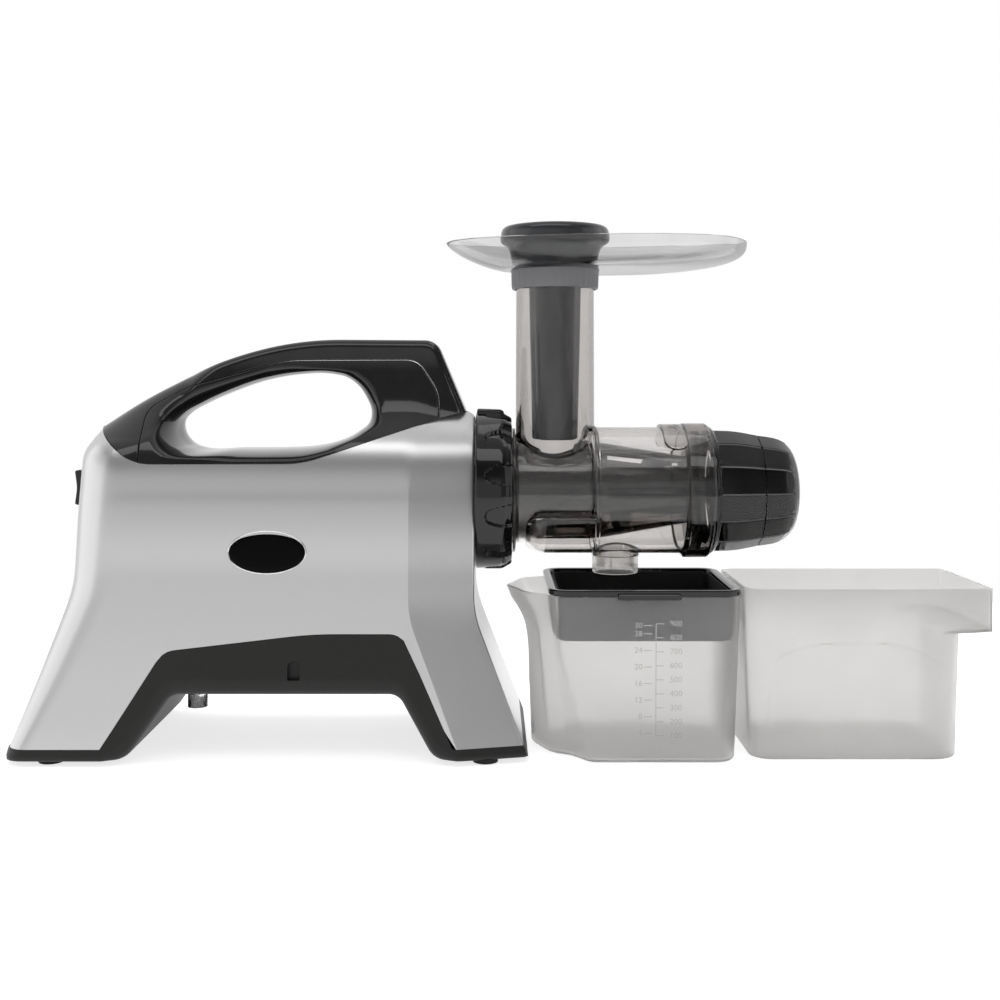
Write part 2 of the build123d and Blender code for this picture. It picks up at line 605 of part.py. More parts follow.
def juice_channel(radius, inset):
    """The chamber's round carried on under the feed part, up to a level ledge, with a rounded left end."""
    start, end = CHANNEL_START + inset, DRUM_STEP + 2 + inset / 2
    low, top = AXIS_Z - radius - 1, CHANNEL_TOP_Z - inset
    outline = [(start, low), (start, top), (end, top), (end, low)]
    turn = CHANNEL_ROUND - inset
    return disc(radius, start, end) & side_prism(outline, [turn, turn, 0, 0])


def drum_parts():
    narrow = DRUM_INNER + DRUM_WALL
    wide = SCREEN_CHAMBER_RADIUS
    profile = [
        (8, 30),
        (8, SOCKET_BORE - SEAT_GAP),
        (13, SOCKET_BORE - SEAT_GAP),
        (14, narrow),
        (DRUM_STEP - 2, narrow),
        (DRUM_STEP, wide + 1.2),
        (DRUM_STEP + 4, wide + 1.2),
        (DRUM_STEP + 5, wide),
        (140, wide),
        (152, wide),
        (153, FLANGE_RADIUS),
        (DRUM_END, FLANGE_RADIUS),
        (DRUM_END, 30),
    ]
    drum = turned(profile)
    nipple_r = SPOUT_RADIUS - SPOUT_WALL - SEAT_GAP
    boss_low = AXIS_Z - wide - 1.5
    drum += post(SPOUT_RADIUS, boss_low, AXIS_Z, at(SPOUT_STATION), 0)
    drum += post(nipple_r, SPOUT_LOW_Z + 5, boss_low, at(SPOUT_STATION), 0)
    drum += tube(47.5, narrow - 1, CLIP_LENGTH + SLIDE_GAP, CLIP_LENGTH + SLIDE_GAP + 2)
    for k in range(LUG_COUNT):
        lug = block(at(15.5), at(19.5), -7, 7, AXIS_Z + narrow - 1, AXIS_Z + LUG_RADIUS)
        drum += lug.rotate(Axis((0, 0, AXIS_Z), (1, 0, 0)), 360 * k / LUG_COUNT)
    drum += juice_channel(wide, 0)
    chute = post(CHUTE_RADIUS, AXIS_Z, CHUTE_TOP_Z, at(CHUTE_STATION), 0)
    drum += chute
    raised = block(at(140), at(154), -14, 14, AXIS_Z + wide - 4, AXIS_Z + wide + 2.2)
    drum += raised
    # hollow
    drum -= disc(DRUM_INNER, 11, DRUM_END + 1)
    drum -= disc(SCREEN_CHAMBER_RADIUS - SCREEN_CHAMBER_WALL, DRUM_STEP + 2, DRUM_END + 1)
    drum -= post(CHUTE_BORE, AXIS_Z + 5, CHUTE_TOP_Z + 1, at(CHUTE_STATION), 0)
    drum -= juice_channel(wide - SCREEN_CHAMBER_WALL, DRUM_WALL)
    drum -= post(nipple_r - 2.2, SPOUT_LOW_Z, AXIS_Z, at(SPOUT_STATION), 0)
    drum -= disc(21.5, 0, 12)
    save("drum", drum.solids().sort_by(SortBy.VOLUME)[-1])

    save("drum_seal", tube(SOCKET_BORE - SEAT_GAP, 33, 2.3, 7.7))

    spout = post(SPOUT_RADIUS, SPOUT_LOW_Z, AXIS_Z - wide - 1.5, at(SPOUT_STATION), 0)
    spout -= post(SPOUT_RADIUS - SPOUT_WALL, SPOUT_LOW_Z - 1, AXIS_Z, at(SPOUT_STATION), 0)
    save("juice_spout", spout)


SCREEN_OUTER = DRUM_INNER - SEAT_GAP
SCREEN_INNER = SCREEN_OUTER - SCREEN_WALL


def screen_parts():
    flange = SCREEN_CHAMBER_RADIUS - SCREEN_CHAMBER_WALL - SEAT_GAP
    outside = [(14, SCREEN_OUTER), (DRUM_STEP, SCREEN_OUTER), (SCREEN_END, SCREEN_END_RADIUS)]
    outside += [(164, SCREEN_END_RADIUS), (164, flange), (168, flange)]
    inside = [(168, SCREEN_END_RADIUS - SCREEN_WALL), (SCREEN_END, SCREEN_END_RADIUS - SCREEN_WALL)]
    inside += [(DRUM_STEP, SCREEN_INNER), (14, SCREEN_INNER)]
    screen = turned(outside + inside)
    window = post(CHUTE_BORE, AXIS_Z, AXIS_Z + 80, at(CHUTE_STATION), 0)
    screen -= window
    for k in range(8):
        if k == 2:
            continue
        port = block(at(98), at(158), -SLOT_HALF, SLOT_HALF, AXIS_Z + 15, AXIS_Z + 40)
        screen -= port.rotate(Axis((0, 0, AXIS_Z), (1, 0, 0)), 45 * k - 90)
    for k in (-1, 0, 1):
        port = block(at(46), at(84), -5.0, 5.0, AXIS_Z - 60, AXIS_Z - 20)
        screen -= port.rotate(Axis((0, 0, AXIS_Z), (1, 0, 0)), 24 * k)
    save("juicing_screen", screen)


def auger_parts():
    flight_start, flight_end = AUGER_START + 4, 152.0
    flight_length = flight_end - flight_start
    radius = SCREEN_INNER - AUGER_GAP
    end_radius = SCREEN_END_RADIUS - SCREEN_WALL - AUGER_GAP
    middle_radius = (AUGER_CORE_START + radius) / 2
    centre = Vector(at(flight_start), 0, AXIS_Z)
    pitch = flight_length / FLIGHT_TURNS
    helix = Helix(pitch, flight_length, middle_radius, center=centre, direction=(1, 0, 0))
    radial = (helix @ 0 - centre).normalized()
    fin_height = radius - AUGER_CORE_START + 4
    fin = Plane(origin=helix @ 0, x_dir=radial, z_dir=helix % 0) * Rectangle(fin_height, FLIGHT_WIDTH)
    flight = sweep(fin, path=helix, binormal=Edge.make_line(centre, centre + Vector(flight_length, 0, 0)))
    cone = turned([(AUGER_START, 0), (AUGER_START, AUGER_CORE_START), (166, AUGER_CORE_END), (166, 0)])
    swept = [(0, 0), (0, radius), (DRUM_STEP, radius), (SCREEN_END, end_radius), (200, end_radius), (200, 0)]
    auger = (cone + flight) & turned(swept)
    auger += disc(radius - 2, AUGER_START, flight_start + 2)
    auger += disc(13, AUGER_START - 9, AUGER_START)
    auger += disc(10, 166, 186)
    save("auger", auger)
    hexagon = Plane(origin=(at(-5), 0, AXIS_Z), x_dir=(0, 1, 0), z_dir=(1, 0, 0)) * RegularPolygon(
        HEX_ACROSS_FLATS / 2, 6, major_radius=False
    )
    save("auger_drive_hex", extrude(hexagon, amount=AUGER_START - 9 + 5))


def cap_parts():
    overlap = SCREEN_CHAMBER_RADIUS - SCREEN_CHAMBER_WALL - SEAT_GAP
    outer = [
        (168.3, 30),
        (168.3, overlap),
        (DRUM_END, overlap),
        (DRUM_END, CAP_RADIUS + 2.0),
        (DRUM_END + 2.5, CAP_RADIUS + 1.5),
        (DRUM_END + 4, CAP_RADIUS),
        (192, CAP_RADIUS - 0.3),
        (203, CAP_RADIUS - 1.7),
        (CAP_SEAM, CAP_RADIUS - 3.9),
        (CAP_SEAM, 30),
    ]
    cap = turned(outer)
    cap -= disc(CAP_RADIUS - 3.9 - CAP_WALL, 172, CAP_SEAM + 1)
    cap += tube(30, 26, 170, CAP_SEAM - 4)
    cap += tube(CAP_RADIUS - 5, 10 + RUN_GAP, 170, 174)
    for k in range(6):
        angle = 2 * pi * k / 6
        cap -= disc(5.5, 160, 180, 19 * cos(angle), AXIS_Z + 19 * sin(angle))
    band = [(DRUM_END + 5, CAP_RADIUS + 5), (DRUM_END + 5, CAP_RADIUS - 0.9), (192, CAP_RADIUS - 1.2)]
    band += [(203, CAP_RADIUS - 2.6), (CAP_SEAM + 1, CAP_RADIUS - 5), (CAP_SEAM + 1, CAP_RADIUS + 5)]
    cap -= flute_grooves(turned(band))
    save("end_cap", cap.solids().sort_by(SortBy.VOLUME)[-1])

    start = CAP_SEAM + SEAT_GAP
    profile = [
        (start, 31),
        (start, CAP_RADIUS - 4.3),
        (225.5, CAP_RADIUS - 5.7),
        (230.5, CAP_RADIUS - 7.6),
        (236.3, CAP_RADIUS - 9.8),
        (240.3, CAP_RADIUS - 12.8),
        (243.8, CAP_RADIUS - 18.2),
        (CAP_TIP, CAP_RADIUS - 25),
        (CAP_TIP, PULP_HOLE_RADIUS),
        (CAP_TIP - CAP_WALL, PULP_HOLE_RADIUS),
        (CAP_TIP - CAP_WALL - 2, 24),
        (start + 8, 31),
    ]
    dial = turned(profile)
    dial += tube(PULP_HOLE_RADIUS + 3, PULP_HOLE_RADIUS, start - 6, CAP_TIP - 1)
    ring_profile = [
        (start + 4, 60), (start + 4, CAP_RADIUS - 5.2),
        (225.5, CAP_RADIUS - 6.6), (230.5, CAP_RADIUS - 8.5),
    ]
    ring_profile += [(238, CAP_RADIUS - 11.8), (238, 60)]
    dial -= flute_grooves(turned(ring_profile))
    save("pressure_dial", dial.solids().sort_by(SortBy.VOLUME)[-1])


def flute_grooves(band):
    """Narrow longitudinal grooves between the cap's panels, to the depth of the band."""
    grooves = None
    for k in range(FLUTE_COUNT):
        slab = block(at(150), at(260), -0.6, 0.6, AXIS_Z, AXIS_Z + 60)
        groove = slab.rotate(Axis((0, 0, AXIS_Z), (1, 0, 0)), 360 * (k + 0.5) / FLUTE_COUNT) & band
        grooves = groove if grooves is None else grooves + groove
    return grooves


# ---------------------------------------------------------------- tray and pusher
def tray_outline(z, grow_x, grow_y, shift=0.0):
    """Closed smooth outline: oval at the motor end, squarer at the dial end."""
    half = [(-22.1, 0), (-17.5, 16), (-5, 29), (21, 43), (61, 54)]
    half += [(98, 58), (149, 57), (181, 47), (200, 25), (207.3, 0)]
    mid = 92.6
    rows = [(mid + shift + (u - mid) * grow_x, y * grow_y) for u, y in half]
    near = [(at(u), -y) for u, y in rows]
    far = [(at(u), y) for u, y in reversed(rows[1:-1])]
    curve = Spline(*(near + far), periodic=True)
    return Plane((0, 0, z)) * make_face(curve)


def tray_parts():
    top, floor = TRAY_RIM_Z, TRAY_FLOOR_Z
    middle = floor + 0.37 * TRAY_DEPTH
    outer = [tray_outline(floor, 0.70, 0.70, 3), tray_outline(middle, 0.88, 0.88, 2), tray_outline(top, 1, 1)]
    outer = loft(outer)
    inner = [tray_outline(floor + TRAY_WALL, 0.69, 0.68, 3), tray_outline(middle + 1.2, 0.87, 0.86, 2)]
    inner = loft(inner + [tray_outline(top + 0.1, 0.975, 0.955)])
    tray = outer - inner
    tray -= post(CHUTE_BORE + 0.3, floor - 1, floor + 30, at(CHUTE_STATION), 0)
    tray -= block(at(CHUTE_STATION - 80), at(CHUTE_STATION + 200), -100, 100, floor - 10, floor)
    save("hopper_tray", tray.solids().sort_by(SortBy.VOLUME)[-1])
    bottom = floor - COLLAR_HEIGHT
    collar = post(COLLAR_RADIUS, bottom, floor, at(CHUTE_STATION), 0)
    collar -= post(CHUTE_RADIUS + SEAT_GAP, bottom - 1, floor + 1, at(CHUTE_STATION), 0)
    save("tray_collar", collar)


def pusher_parts():
    x = at(CHUTE_STATION)
    low = TRAY_FLOOR_Z + TRAY_WALL + SEAT_GAP
    ends = [(PUSHER_LOW_Z, PUSHER_RADIUS - 2.4), (low + 8, PUSHER_RADIUS)]
    rod = loft([Plane((x, 0, z)) * Circle(radius) for z, radius in ends])
    rod -= post(PUSHER_RADIUS - 5, PUSHER_LOW_Z + 2.5, low + 9, x, 0)
    save("pusher_rod", rod)
    cap = post(PUSHER_NECK_RADIUS, low, TRAY_RIM_Z, x, 0)
    cap += extrude(Plane((x, 0, TRAY_RIM_Z)) * Circle(PUSHER_CAP_RADIUS), amount=PUSHER_CAP_HEIGHT)
    cap = fillet(cap.edges().group_by(Axis.Z)[-1], PUSHER_CAP_ROUND)
    cap -= post(PUSHER_NECK_RADIUS - 3, low - 1, low + 8, x, 0)
    save("pusher_cap", cap)


# ---------------------------------------------------------------- jug, strainer and pulp bin
def jug_outline(level, inset=0.0):
    """Plan of the jug at one level: straight sides, round right corners and a broad nose on the left, which
    meets the sides in a hollow."""
    z, right, half, tip, nose, hollow, shoulder = level
    u_nose, y_nose = nose
    u_hollow, y_hollow = hollow
    half -= inset
    row = [(shoulder, half), (u_hollow + inset / 2, y_hollow - inset), (u_nose + inset / 2, y_nose - inset)]
    tip_row = [(tip + inset, 0.0)]
    far = [(right - inset, half)] + row + tip_row
    near = [(u, -y) for u, y in reversed(row)] + [(right - inset, -half)]
    rounds = [14 - inset, 8, 9, 14, 14, 14, 9, 8, 14 - inset]
    corners = [(at(u), JUG_MID_Y + y) for u, y in far + near]
    return Plane((0, 0, z)) * make_face(FilletPolyline(*corners, radius=rounds, close=True))


def vessel_parts():
    # each level: z, right side, half depth, nose tip, nose corner, hollow, shoulder
    right, half, nose = JUG_RIGHT, JUG_HALF_DEPTH, JUG_NOSE
    levels = [
        (0, right - 4, half - 3, nose + 17, (nose + 31, 31), (nose + 46, 38), nose + 60),
        (82, right - 1.2, half - 1, nose + 15, (nose + 23, 30), (nose + 33, 44), nose + 38),
        (100, right - 0.6, half - 0.5, nose + 9, (nose + 19, 32), (nose + 32, 45), nose + 38),
        (JUG_RIM_Z, right, half, nose - 1.5, (nose + 12, 35), (nose + 30, 46), nose + 37),
    ]

    def jug_solid(inset):
        faces = [jug_outline(level, inset) for level in levels]
        return loft(faces, ruled=True)

    floor = block(at(0), at(200), -200, 200, -1, 2.4)
    jug = jug_solid(0) - (jug_solid(VESSEL_WALL) - floor)
    save("juice_jug", jug.solids().sort_by(SortBy.VOLUME)[-1])

    rim_low = JUG_RIM_Z
    x0, x1 = at(JUG_NOSE + 30), at(JUG_RIGHT + 0.6)
    y0, y1 = JUG_MID_Y - JUG_HALF_DEPTH - 0.6, JUG_MID_Y + JUG_HALF_DEPTH + 0.6
    clear = VESSEL_WALL + SEAT_GAP + 1.0
    centre = ((x0 + x1) / 2, (y0 + y1) / 2)

    def plan(z, shrink, r):
        size = (x1 - x0 - 2 * shrink, y1 - y0 - 2 * shrink)
        return Plane((*centre, z)) * RectangleRounded(*size, r)

    ring = extrude(plan(rim_low, 0, 14), amount=STRAINER_FLANGE)
    ring -= extrude(plan(rim_low - 1, clear + 4, 9), amount=10)
    tab = block(at(104), at(152), y0 - 3, y0 + 4, rim_low, rim_low + STRAINER_FLANGE - 1.2)
    save("strainer_rim", ring + tab)
    basket = extrude(plan(rim_low - STRAINER_DEPTH, clear + 3.0, 10), amount=STRAINER_DEPTH)
    basket -= extrude(plan(rim_low - STRAINER_DEPTH + 1.4, clear + 4.4, 9), amount=STRAINER_DEPTH)
    save("strainer_basket", basket)

    def bin_plan(z, left, right, half, r):
        size = (right - left, 2 * half)
        return Plane((at((left + right) / 2), BIN_MID_Y, z)) * RectangleRounded(*size, r)

    def bin_solid(wall, low, high):
        half = BIN_HALF_DEPTH - wall
        base = bin_plan(low, BIN_LEFT + 5 + wall, BIN_RIGHT - 6 - wall, half - 4, BIN_ROUND - wall)
        rim = bin_plan(high, BIN_LEFT + wall, BIN_RIGHT - wall, half, BIN_ROUND - wall)
        return loft([base, rim], ruled=True)

    def step_solid(wall, low, high):
        right = BIN_RIGHT + BIN_LIP - wall
        face = bin_plan(low, BIN_RIGHT - 60, right, BIN_HALF_DEPTH - wall, 4 - wall)
        return extrude(face, amount=high - low)

    step_low = BIN_HEIGHT - BIN_LIP_DROP
    bin_shell = bin_solid(0, 0, BIN_HEIGHT) + step_solid(0, step_low, BIN_HEIGHT)
    bin_shell -= bin_solid(VESSEL_WALL, VESSEL_WALL, BIN_HEIGHT + 0.01)
    bin_shell -= step_solid(VESSEL_WALL, step_low + VESSEL_WALL, BIN_HEIGHT + 1)
    save("pulp_bin", bin_shell.solids().sort_by(SortBy.VOLUME)[-1])


housing_parts()
small_body_parts()
gear_parts()
motor_parts()
ring_body()
clip_parts()
drum_parts()
screen_parts()
auger_parts()
cap_parts()
tray_parts()
pusher_parts()
vessel_parts()

for name, shape in parts.items():
    export_step(shape, f"parts/{name}.step")
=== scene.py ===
"""Looks of a horizontal cold press juicer with its juice jug and pulp bin, laid out as a Blender add-on.

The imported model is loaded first, as a fixed frame in metres: +X runs from the motor end to the pressure
dial, -Y is the working side and +Z is up. Lengths typed here are in millimetres and pass through mm().
Stations are distances along X from the housing's front face, where the drum locks on.
"""

from math import atan2, cos, pi, radians, sin, tau

import bpy
import numpy as np
from bpy.props import FloatProperty, FloatVectorProperty, IntProperty, PointerProperty
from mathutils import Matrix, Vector


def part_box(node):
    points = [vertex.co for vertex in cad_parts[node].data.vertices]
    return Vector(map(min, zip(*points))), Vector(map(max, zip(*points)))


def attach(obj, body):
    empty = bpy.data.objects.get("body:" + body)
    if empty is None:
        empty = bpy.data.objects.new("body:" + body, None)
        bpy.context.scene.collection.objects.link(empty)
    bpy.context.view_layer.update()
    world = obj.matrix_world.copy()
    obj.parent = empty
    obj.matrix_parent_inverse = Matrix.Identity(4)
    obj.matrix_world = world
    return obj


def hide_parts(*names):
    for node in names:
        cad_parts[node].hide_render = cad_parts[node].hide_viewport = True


bl_info = {
    "name": "Cold press juicer",
    "version": (1, 0, 0),
    "blender": (4, 5, 0),
    "location": "View3D > Sidebar > Juicer",
    "description": "Builds the juicer's visible surfaces and finishes round its packed frame",
    "category": "Object",
}

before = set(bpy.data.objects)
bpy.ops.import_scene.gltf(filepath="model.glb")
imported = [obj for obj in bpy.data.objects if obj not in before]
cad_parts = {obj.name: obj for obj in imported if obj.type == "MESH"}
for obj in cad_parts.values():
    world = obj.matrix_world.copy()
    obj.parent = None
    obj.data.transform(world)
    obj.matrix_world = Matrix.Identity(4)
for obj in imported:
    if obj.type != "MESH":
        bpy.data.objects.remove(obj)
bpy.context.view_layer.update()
MM = 0.001
FRONT_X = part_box("drum_socket")[0].x  # station 0
AXIS_Z = (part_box("drum_socket")[0].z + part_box("drum_socket")[1].z) / 2  # drum and auger
CHUTE_X = (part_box("tray_collar")[0].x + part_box("tray_collar")[1].x) / 2
MERGE_WITHIN = 2e-6  # points closer than this become one


# ---------------------------------------------------------------- numbers, curves and meshes
def mm(*values):
    """Millimetres as metres: one number, or an array from several points."""
    scaled = np.array(values, float) * MM
    return float(scaled[0]) if scaled.shape == (1,) else (scaled[0] if len(scaled) == 1 else scaled)


def linear(hex_colour):
    """An sRGB hex colour as linear RGBA, opaque."""
    srgb = np.array([int(hex_colour[i:i + 2], 16) for i in (1, 3, 5)]) / 255
    rgb = np.where(srgb <= 0.04045, srgb / 12.92, ((srgb + 0.055) / 1.055) ** 2.4)
    return (*[float(c) for c in rgb], 1.0)


def unit(vectors):
    """Each vector at length 1."""
    return vectors / np.maximum(np.linalg.norm(vectors, axis=-1, keepdims=True), 1e-12)


def rounded(corners, radii, steps=8, closed=True):
    """Polyline with arcs: at each corner, the arc of its radius that touches both runs, in equal turns.
    Gives an array of corners by steps by 2. An open line keeps its two ends as they are."""
    corners = np.asarray(corners, float)
    radii = np.asarray(radii, float)[:, None]
    back = unit(np.roll(corners, 1, axis=0) - corners)
    ahead = unit(np.roll(corners, -1, axis=0) - corners)
    half = np.arccos(np.clip((back * ahead).sum(axis=1), -1, 1))[:, None] / 2
    half = np.clip(half, 1e-4, pi / 2 - 1e-4)
    centre = corners + unit(back + ahead) * radii / np.sin(half)
    start = corners + back * radii / np.tan(half) - centre
    end = corners + ahead * radii / np.tan(half) - centre
    turn = pi - 2 * half
    share = np.linspace(0, 1, steps)[None, :, None]
    turn = turn[:, None]
    arcs = np.sin((1 - share) * turn) * start[:, None] + np.sin(share * turn) * end[:, None]
    arcs = centre[:, None] + arcs / np.sin(turn)
    if not closed:
        arcs[0], arcs[-1] = corners[0], corners[-1]
    return arcs


def ring_between(corners, radii, arc=9, side=20):
    """Rounded corners with evenly spread points on the sides between them: the same count for any size.
    The side is one count, or one for each side."""
    arcs = rounded(corners, radii, arc)
    runs = []
    for i, count in enumerate(np.broadcast_to(side, len(arcs))):
        start, end = arcs[i, -1], arcs[(i + 1) % len(arcs), 0]
        runs += [arcs[i], start + (end - start) * np.linspace(0, 1, count + 2)[1:-1, None]]
    return np.vstack(runs)


def line_of(arcs):
    """The arcs as one polyline without doubled points."""
    points = arcs.reshape(-1, arcs.shape[-1])
    keep = np.ones(len(points), bool)
    keep[1:] = np.linalg.norm(np.diff(points, axis=0), axis=1) > 1e-7
    return points[keep]


def lengths_along(points):
    """Distance of each point from the first, along the polyline."""
    return np.concatenate([[0], np.cumsum(np.linalg.norm(np.diff(points, axis=0), axis=1))])


def resampled(points, count, closed=False):
    """The same polyline with count points spread evenly along its length."""
    if closed:
        points = np.vstack([points, points[:1]])
    along = lengths_along(points)
    wanted = np.linspace(0, along[-1], count + 1)[:-1] if closed else np.linspace(0, along[-1], count)
    return np.stack([np.interp(wanted, along, column) for column in points.T], axis=-1)


def stretch(loop, start, end, count):
    """Part of a dense closed loop from the point nearest start, in its own order, to that nearest end."""
    a = np.linalg.norm(loop - start, axis=1).argmin()
    b = np.linalg.norm(loop - end, axis=1).argmin()
    picked = loop[a:b + 1] if b >= a else np.vstack([loop[a:], loop[:b + 1]])
    return resampled(picked, count)


def through(knots, values, wanted):
    """Smooth curve through (knot, value) pairs: on each span a cubic with mean slopes at its ends."""
    knots, values = np.asarray(knots, float), np.asarray(values, float)
    slopes = np.gradient(values, knots)
    wanted = np.clip(wanted, knots[0], knots[-1])
    i = np.clip(np.searchsorted(knots, wanted) - 1, 0, len(knots) - 2)
    span = knots[i + 1] - knots[i]
    t = (wanted - knots[i]) / span
    return (values[i] * (1 + 2 * t) * (1 - t) ** 2 + slopes[i] * span * t * (1 - t) ** 2
            + values[i + 1] * t * t * (3 - 2 * t) + slopes[i + 1] * span * t * t * (t - 1))


def loop_through(points, count):
    """Smooth closed curve through its points, as evenly spread points."""
    ring = np.vstack([points[-3:], points, points[:4]])
    along = lengths_along(ring)
    wanted = np.linspace(along[3], along[3 + len(points)], count + 1)[:-1]
    return np.column_stack([through(along, ring[:, 0], wanted), through(along, ring[:, 1], wanted)])


def step(low, high, value):
    """Smooth step: 0 below low, 1 above high, with level ends."""
    t = np.clip((value - low) / (high - low), 0, 1)
    return t * t * (3 - 2 * t)


def round_over(depth, radius):
    """How far a rounded edge falls back at a depth from the edge: a quarter circle of the radius."""
    rest = np.clip(1 - depth / np.maximum(radius, 1e-9), 0, 1)
    return radius * (1 - np.sqrt(1 - rest**2))


def distance_to(line, x, z):
    """Distance of each (x, z) from a polyline's segments."""
    a, b = line[:-1], line[1:]
    run = b - a
    length2 = np.maximum((run**2).sum(axis=1), 1e-18)
    points = np.stack([x.ravel(), z.ravel()], axis=-1)
    nearest, size = [], 4096  # points at a time, so that the table of pairs stays small
    for first in range(0, len(points), size):
        part = points[first:first + size, None]
        t = np.clip(((part - a) * run).sum(axis=-1) / length2, 0, 1)
        nearest.append(np.linalg.norm(part - a - t[..., None] * run, axis=-1).min(axis=1))
    return np.concatenate(nearest).reshape(x.shape)


def quads_of(net):
    """Four corners of each cell of a grid of point numbers."""
    return np.stack([net[:-1, ..., :-1], net[:-1, ..., 1:], net[1:, ..., 1:], net[1:, ..., :-1]], axis=-1)


def surface(name, grid, wrap_rows=False, cap_start=False, cap_end=False, crease=35.0):
    """Mesh of a grid of points as quads: each row is a closed ring. A capped end gets a fan to its middle.
    Faces are turned outwards by the sign of the volume, and edges sharper than crease stay sharp."""
    rows, columns = grid.shape[:2]
    index = np.arange(rows * columns).reshape(rows, columns)
    points = grid.reshape(-1, 3)
    ring = np.hstack([index, index[:, :1]])
    net = np.vstack([ring, ring[:1]]) if wrap_rows else ring
    quads = quads_of(net).reshape(-1, 4)
    fans = []
    for wanted, row, turn in ((cap_start, ring[0], -1), (cap_end, ring[-1], 1)):
        if wanted:
            pole = len(points)
            points = np.vstack([points, points[row[:-1]].mean(axis=0)])
            fan = np.stack([row[:-1], row[1:], np.full(len(row) - 1, pole)], axis=-1)
            fans.append(fan[:, ::turn])
    a, b, c, d = (points[quads[:, k]] for k in range(4))
    volume = (np.cross(a, b) * c).sum() + (np.cross(a, c) * d).sum()
    for fan in fans:
        p, q, r = (points[fan[:, k]] for k in range(3))
        volume += (np.cross(p, q) * r).sum()
    if volume < 0:
        quads, fans = quads[:, ::-1], [fan[:, ::-1] for fan in fans]
    faces = quads.tolist() + [triangle for fan in fans for triangle in fan.tolist()]
    mesh = bpy.data.meshes.new(name)
    mesh.from_pydata(points.tolist(), [], faces)
    mesh.validate()
    return finished(bpy.data.objects.new(name, mesh), crease)


def closed_solid(name, grid):
    """A closed piece from a grid whose first and last rings are filled."""
    return surface(name, grid, cap_start=True, cap_end=True)


def finished(piece, crease=35.0):
    """Link a new piece, merge doubled points and shade it smooth up to the crease angle."""
    if piece.name not in bpy.context.scene.collection.objects:
        bpy.context.scene.collection.objects.link(piece)
    piece.modifiers.new("weld", "WELD").merge_threshold = MERGE_WITHIN
    apply_modifiers(piece)
    piece.data.shade_smooth()
    piece.data.set_sharp_from_angle(angle=radians(crease))
    return piece


def apply_modifiers(piece):
    """Bake the modifiers into the piece's own mesh."""
    evaluated = piece.evaluated_get(bpy.context.evaluated_depsgraph_get())
    mesh = bpy.data.meshes.new_from_object(evaluated)
    old = piece.data
    piece.modifiers.clear()
    piece.data = mesh
    mesh.name = piece.name
    bpy.data.meshes.remove(old)


def walled(piece, thickness):
    """Give an open surface its wall, inwards."""
    wall = piece.modifiers.new("wall", "SOLIDIFY")
    wall.thickness, wall.offset, wall.use_even_offset = thickness, -1, True
    apply_modifiers(piece)
    return piece


def combined(piece, others, operation, crease=35.0):
    """Join pieces to one, or cut them out of it, and drop them."""
    for other in others:
        join = piece.modifiers.new("join", "BOOLEAN")
        join.operation, join.solver, join.object = operation, "EXACT", other
    apply_modifiers(piece)
    for other in others:
        bpy.data.objects.remove(other)
    return finished(piece, crease)


def about_x(profile, count=160, start=0.0):
    """Revolve (station, radius) pairs about the drum's axis: y = r sin a, z = axis + r cos a."""
    return bent(profile[:, :1], profile[:, 1:], start + tau * np.arange(count) / count)


def bent(station, radius, angle):
    """Points at a station, a radius from the drum's axis and an angle from its top."""
    return np.stack(np.broadcast_arrays(
        FRONT_X + station, radius * np.sin(angle), AXIS_Z + radius * np.cos(angle)), axis=-1)


def about_z(profile, x=CHUTE_X, count=128):
    """Revolve (radius, height) pairs about an upright axis: x = r cos a, y = r sin a."""
    angle = tau * np.arange(count) / count
    z = np.broadcast_to(profile[:, 1:], (len(profile), count))
    return np.stack([x + profile[:, :1] * np.cos(angle), profile[:, :1] * np.sin(angle), z], axis=-1)


def stacked(outlines, heights):
    """Closed (x, y) outlines with equal counts, one above another."""
    return np.stack([np.column_stack([o, np.full(len(o), h)]) for o, h in zip(outlines, heights)])


def dressed(name, crease=30.0):
    """A merged, smooth-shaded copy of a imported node, which it stands for."""
    piece = bpy.data.objects.new(name + "_skin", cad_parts[name].data.copy())
    piece.data.materials.clear()
    return finished(piece, crease)


def place(piece, body, slot, material, *nodes):
    """Put a piece on its body with its material, and hide the nodes that it stands for. The slot is not
    used.
    """
    painted(piece, material)
    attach(piece, body)
    if nodes:
        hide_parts(*nodes)


def painted(piece, material):
    """Give a piece its only material."""
    piece.data.materials.clear()
    piece.data.materials.append(material)


# ---------------------------------------------------------------- finishes
def node(tree, kind, inputs=(), **settings):
    """Add a shader node: its settings, and for each input a value or the output that feeds it."""
    made = tree.nodes.new("ShaderNode" + kind)
    for name, value in settings.items():
        setattr(made, name, value)
    for name, value in dict(inputs).items():
        if isinstance(value, bpy.types.NodeSocket):
            tree.links.new(value, made.inputs[name])
        else:
            made.inputs[name].default_value = value
    return made


def toned(colour, factor):
    """The colour with its light scaled by a factor."""
    return (*[min(1.0, c * factor) for c in colour[:3]], 1)


def blank_material(name):
    """A new material without nodes, and its node tree."""
    material = bpy.data.materials.new(name)
    material.use_nodes = True
    material.node_tree.nodes.clear()
    return material, material.node_tree


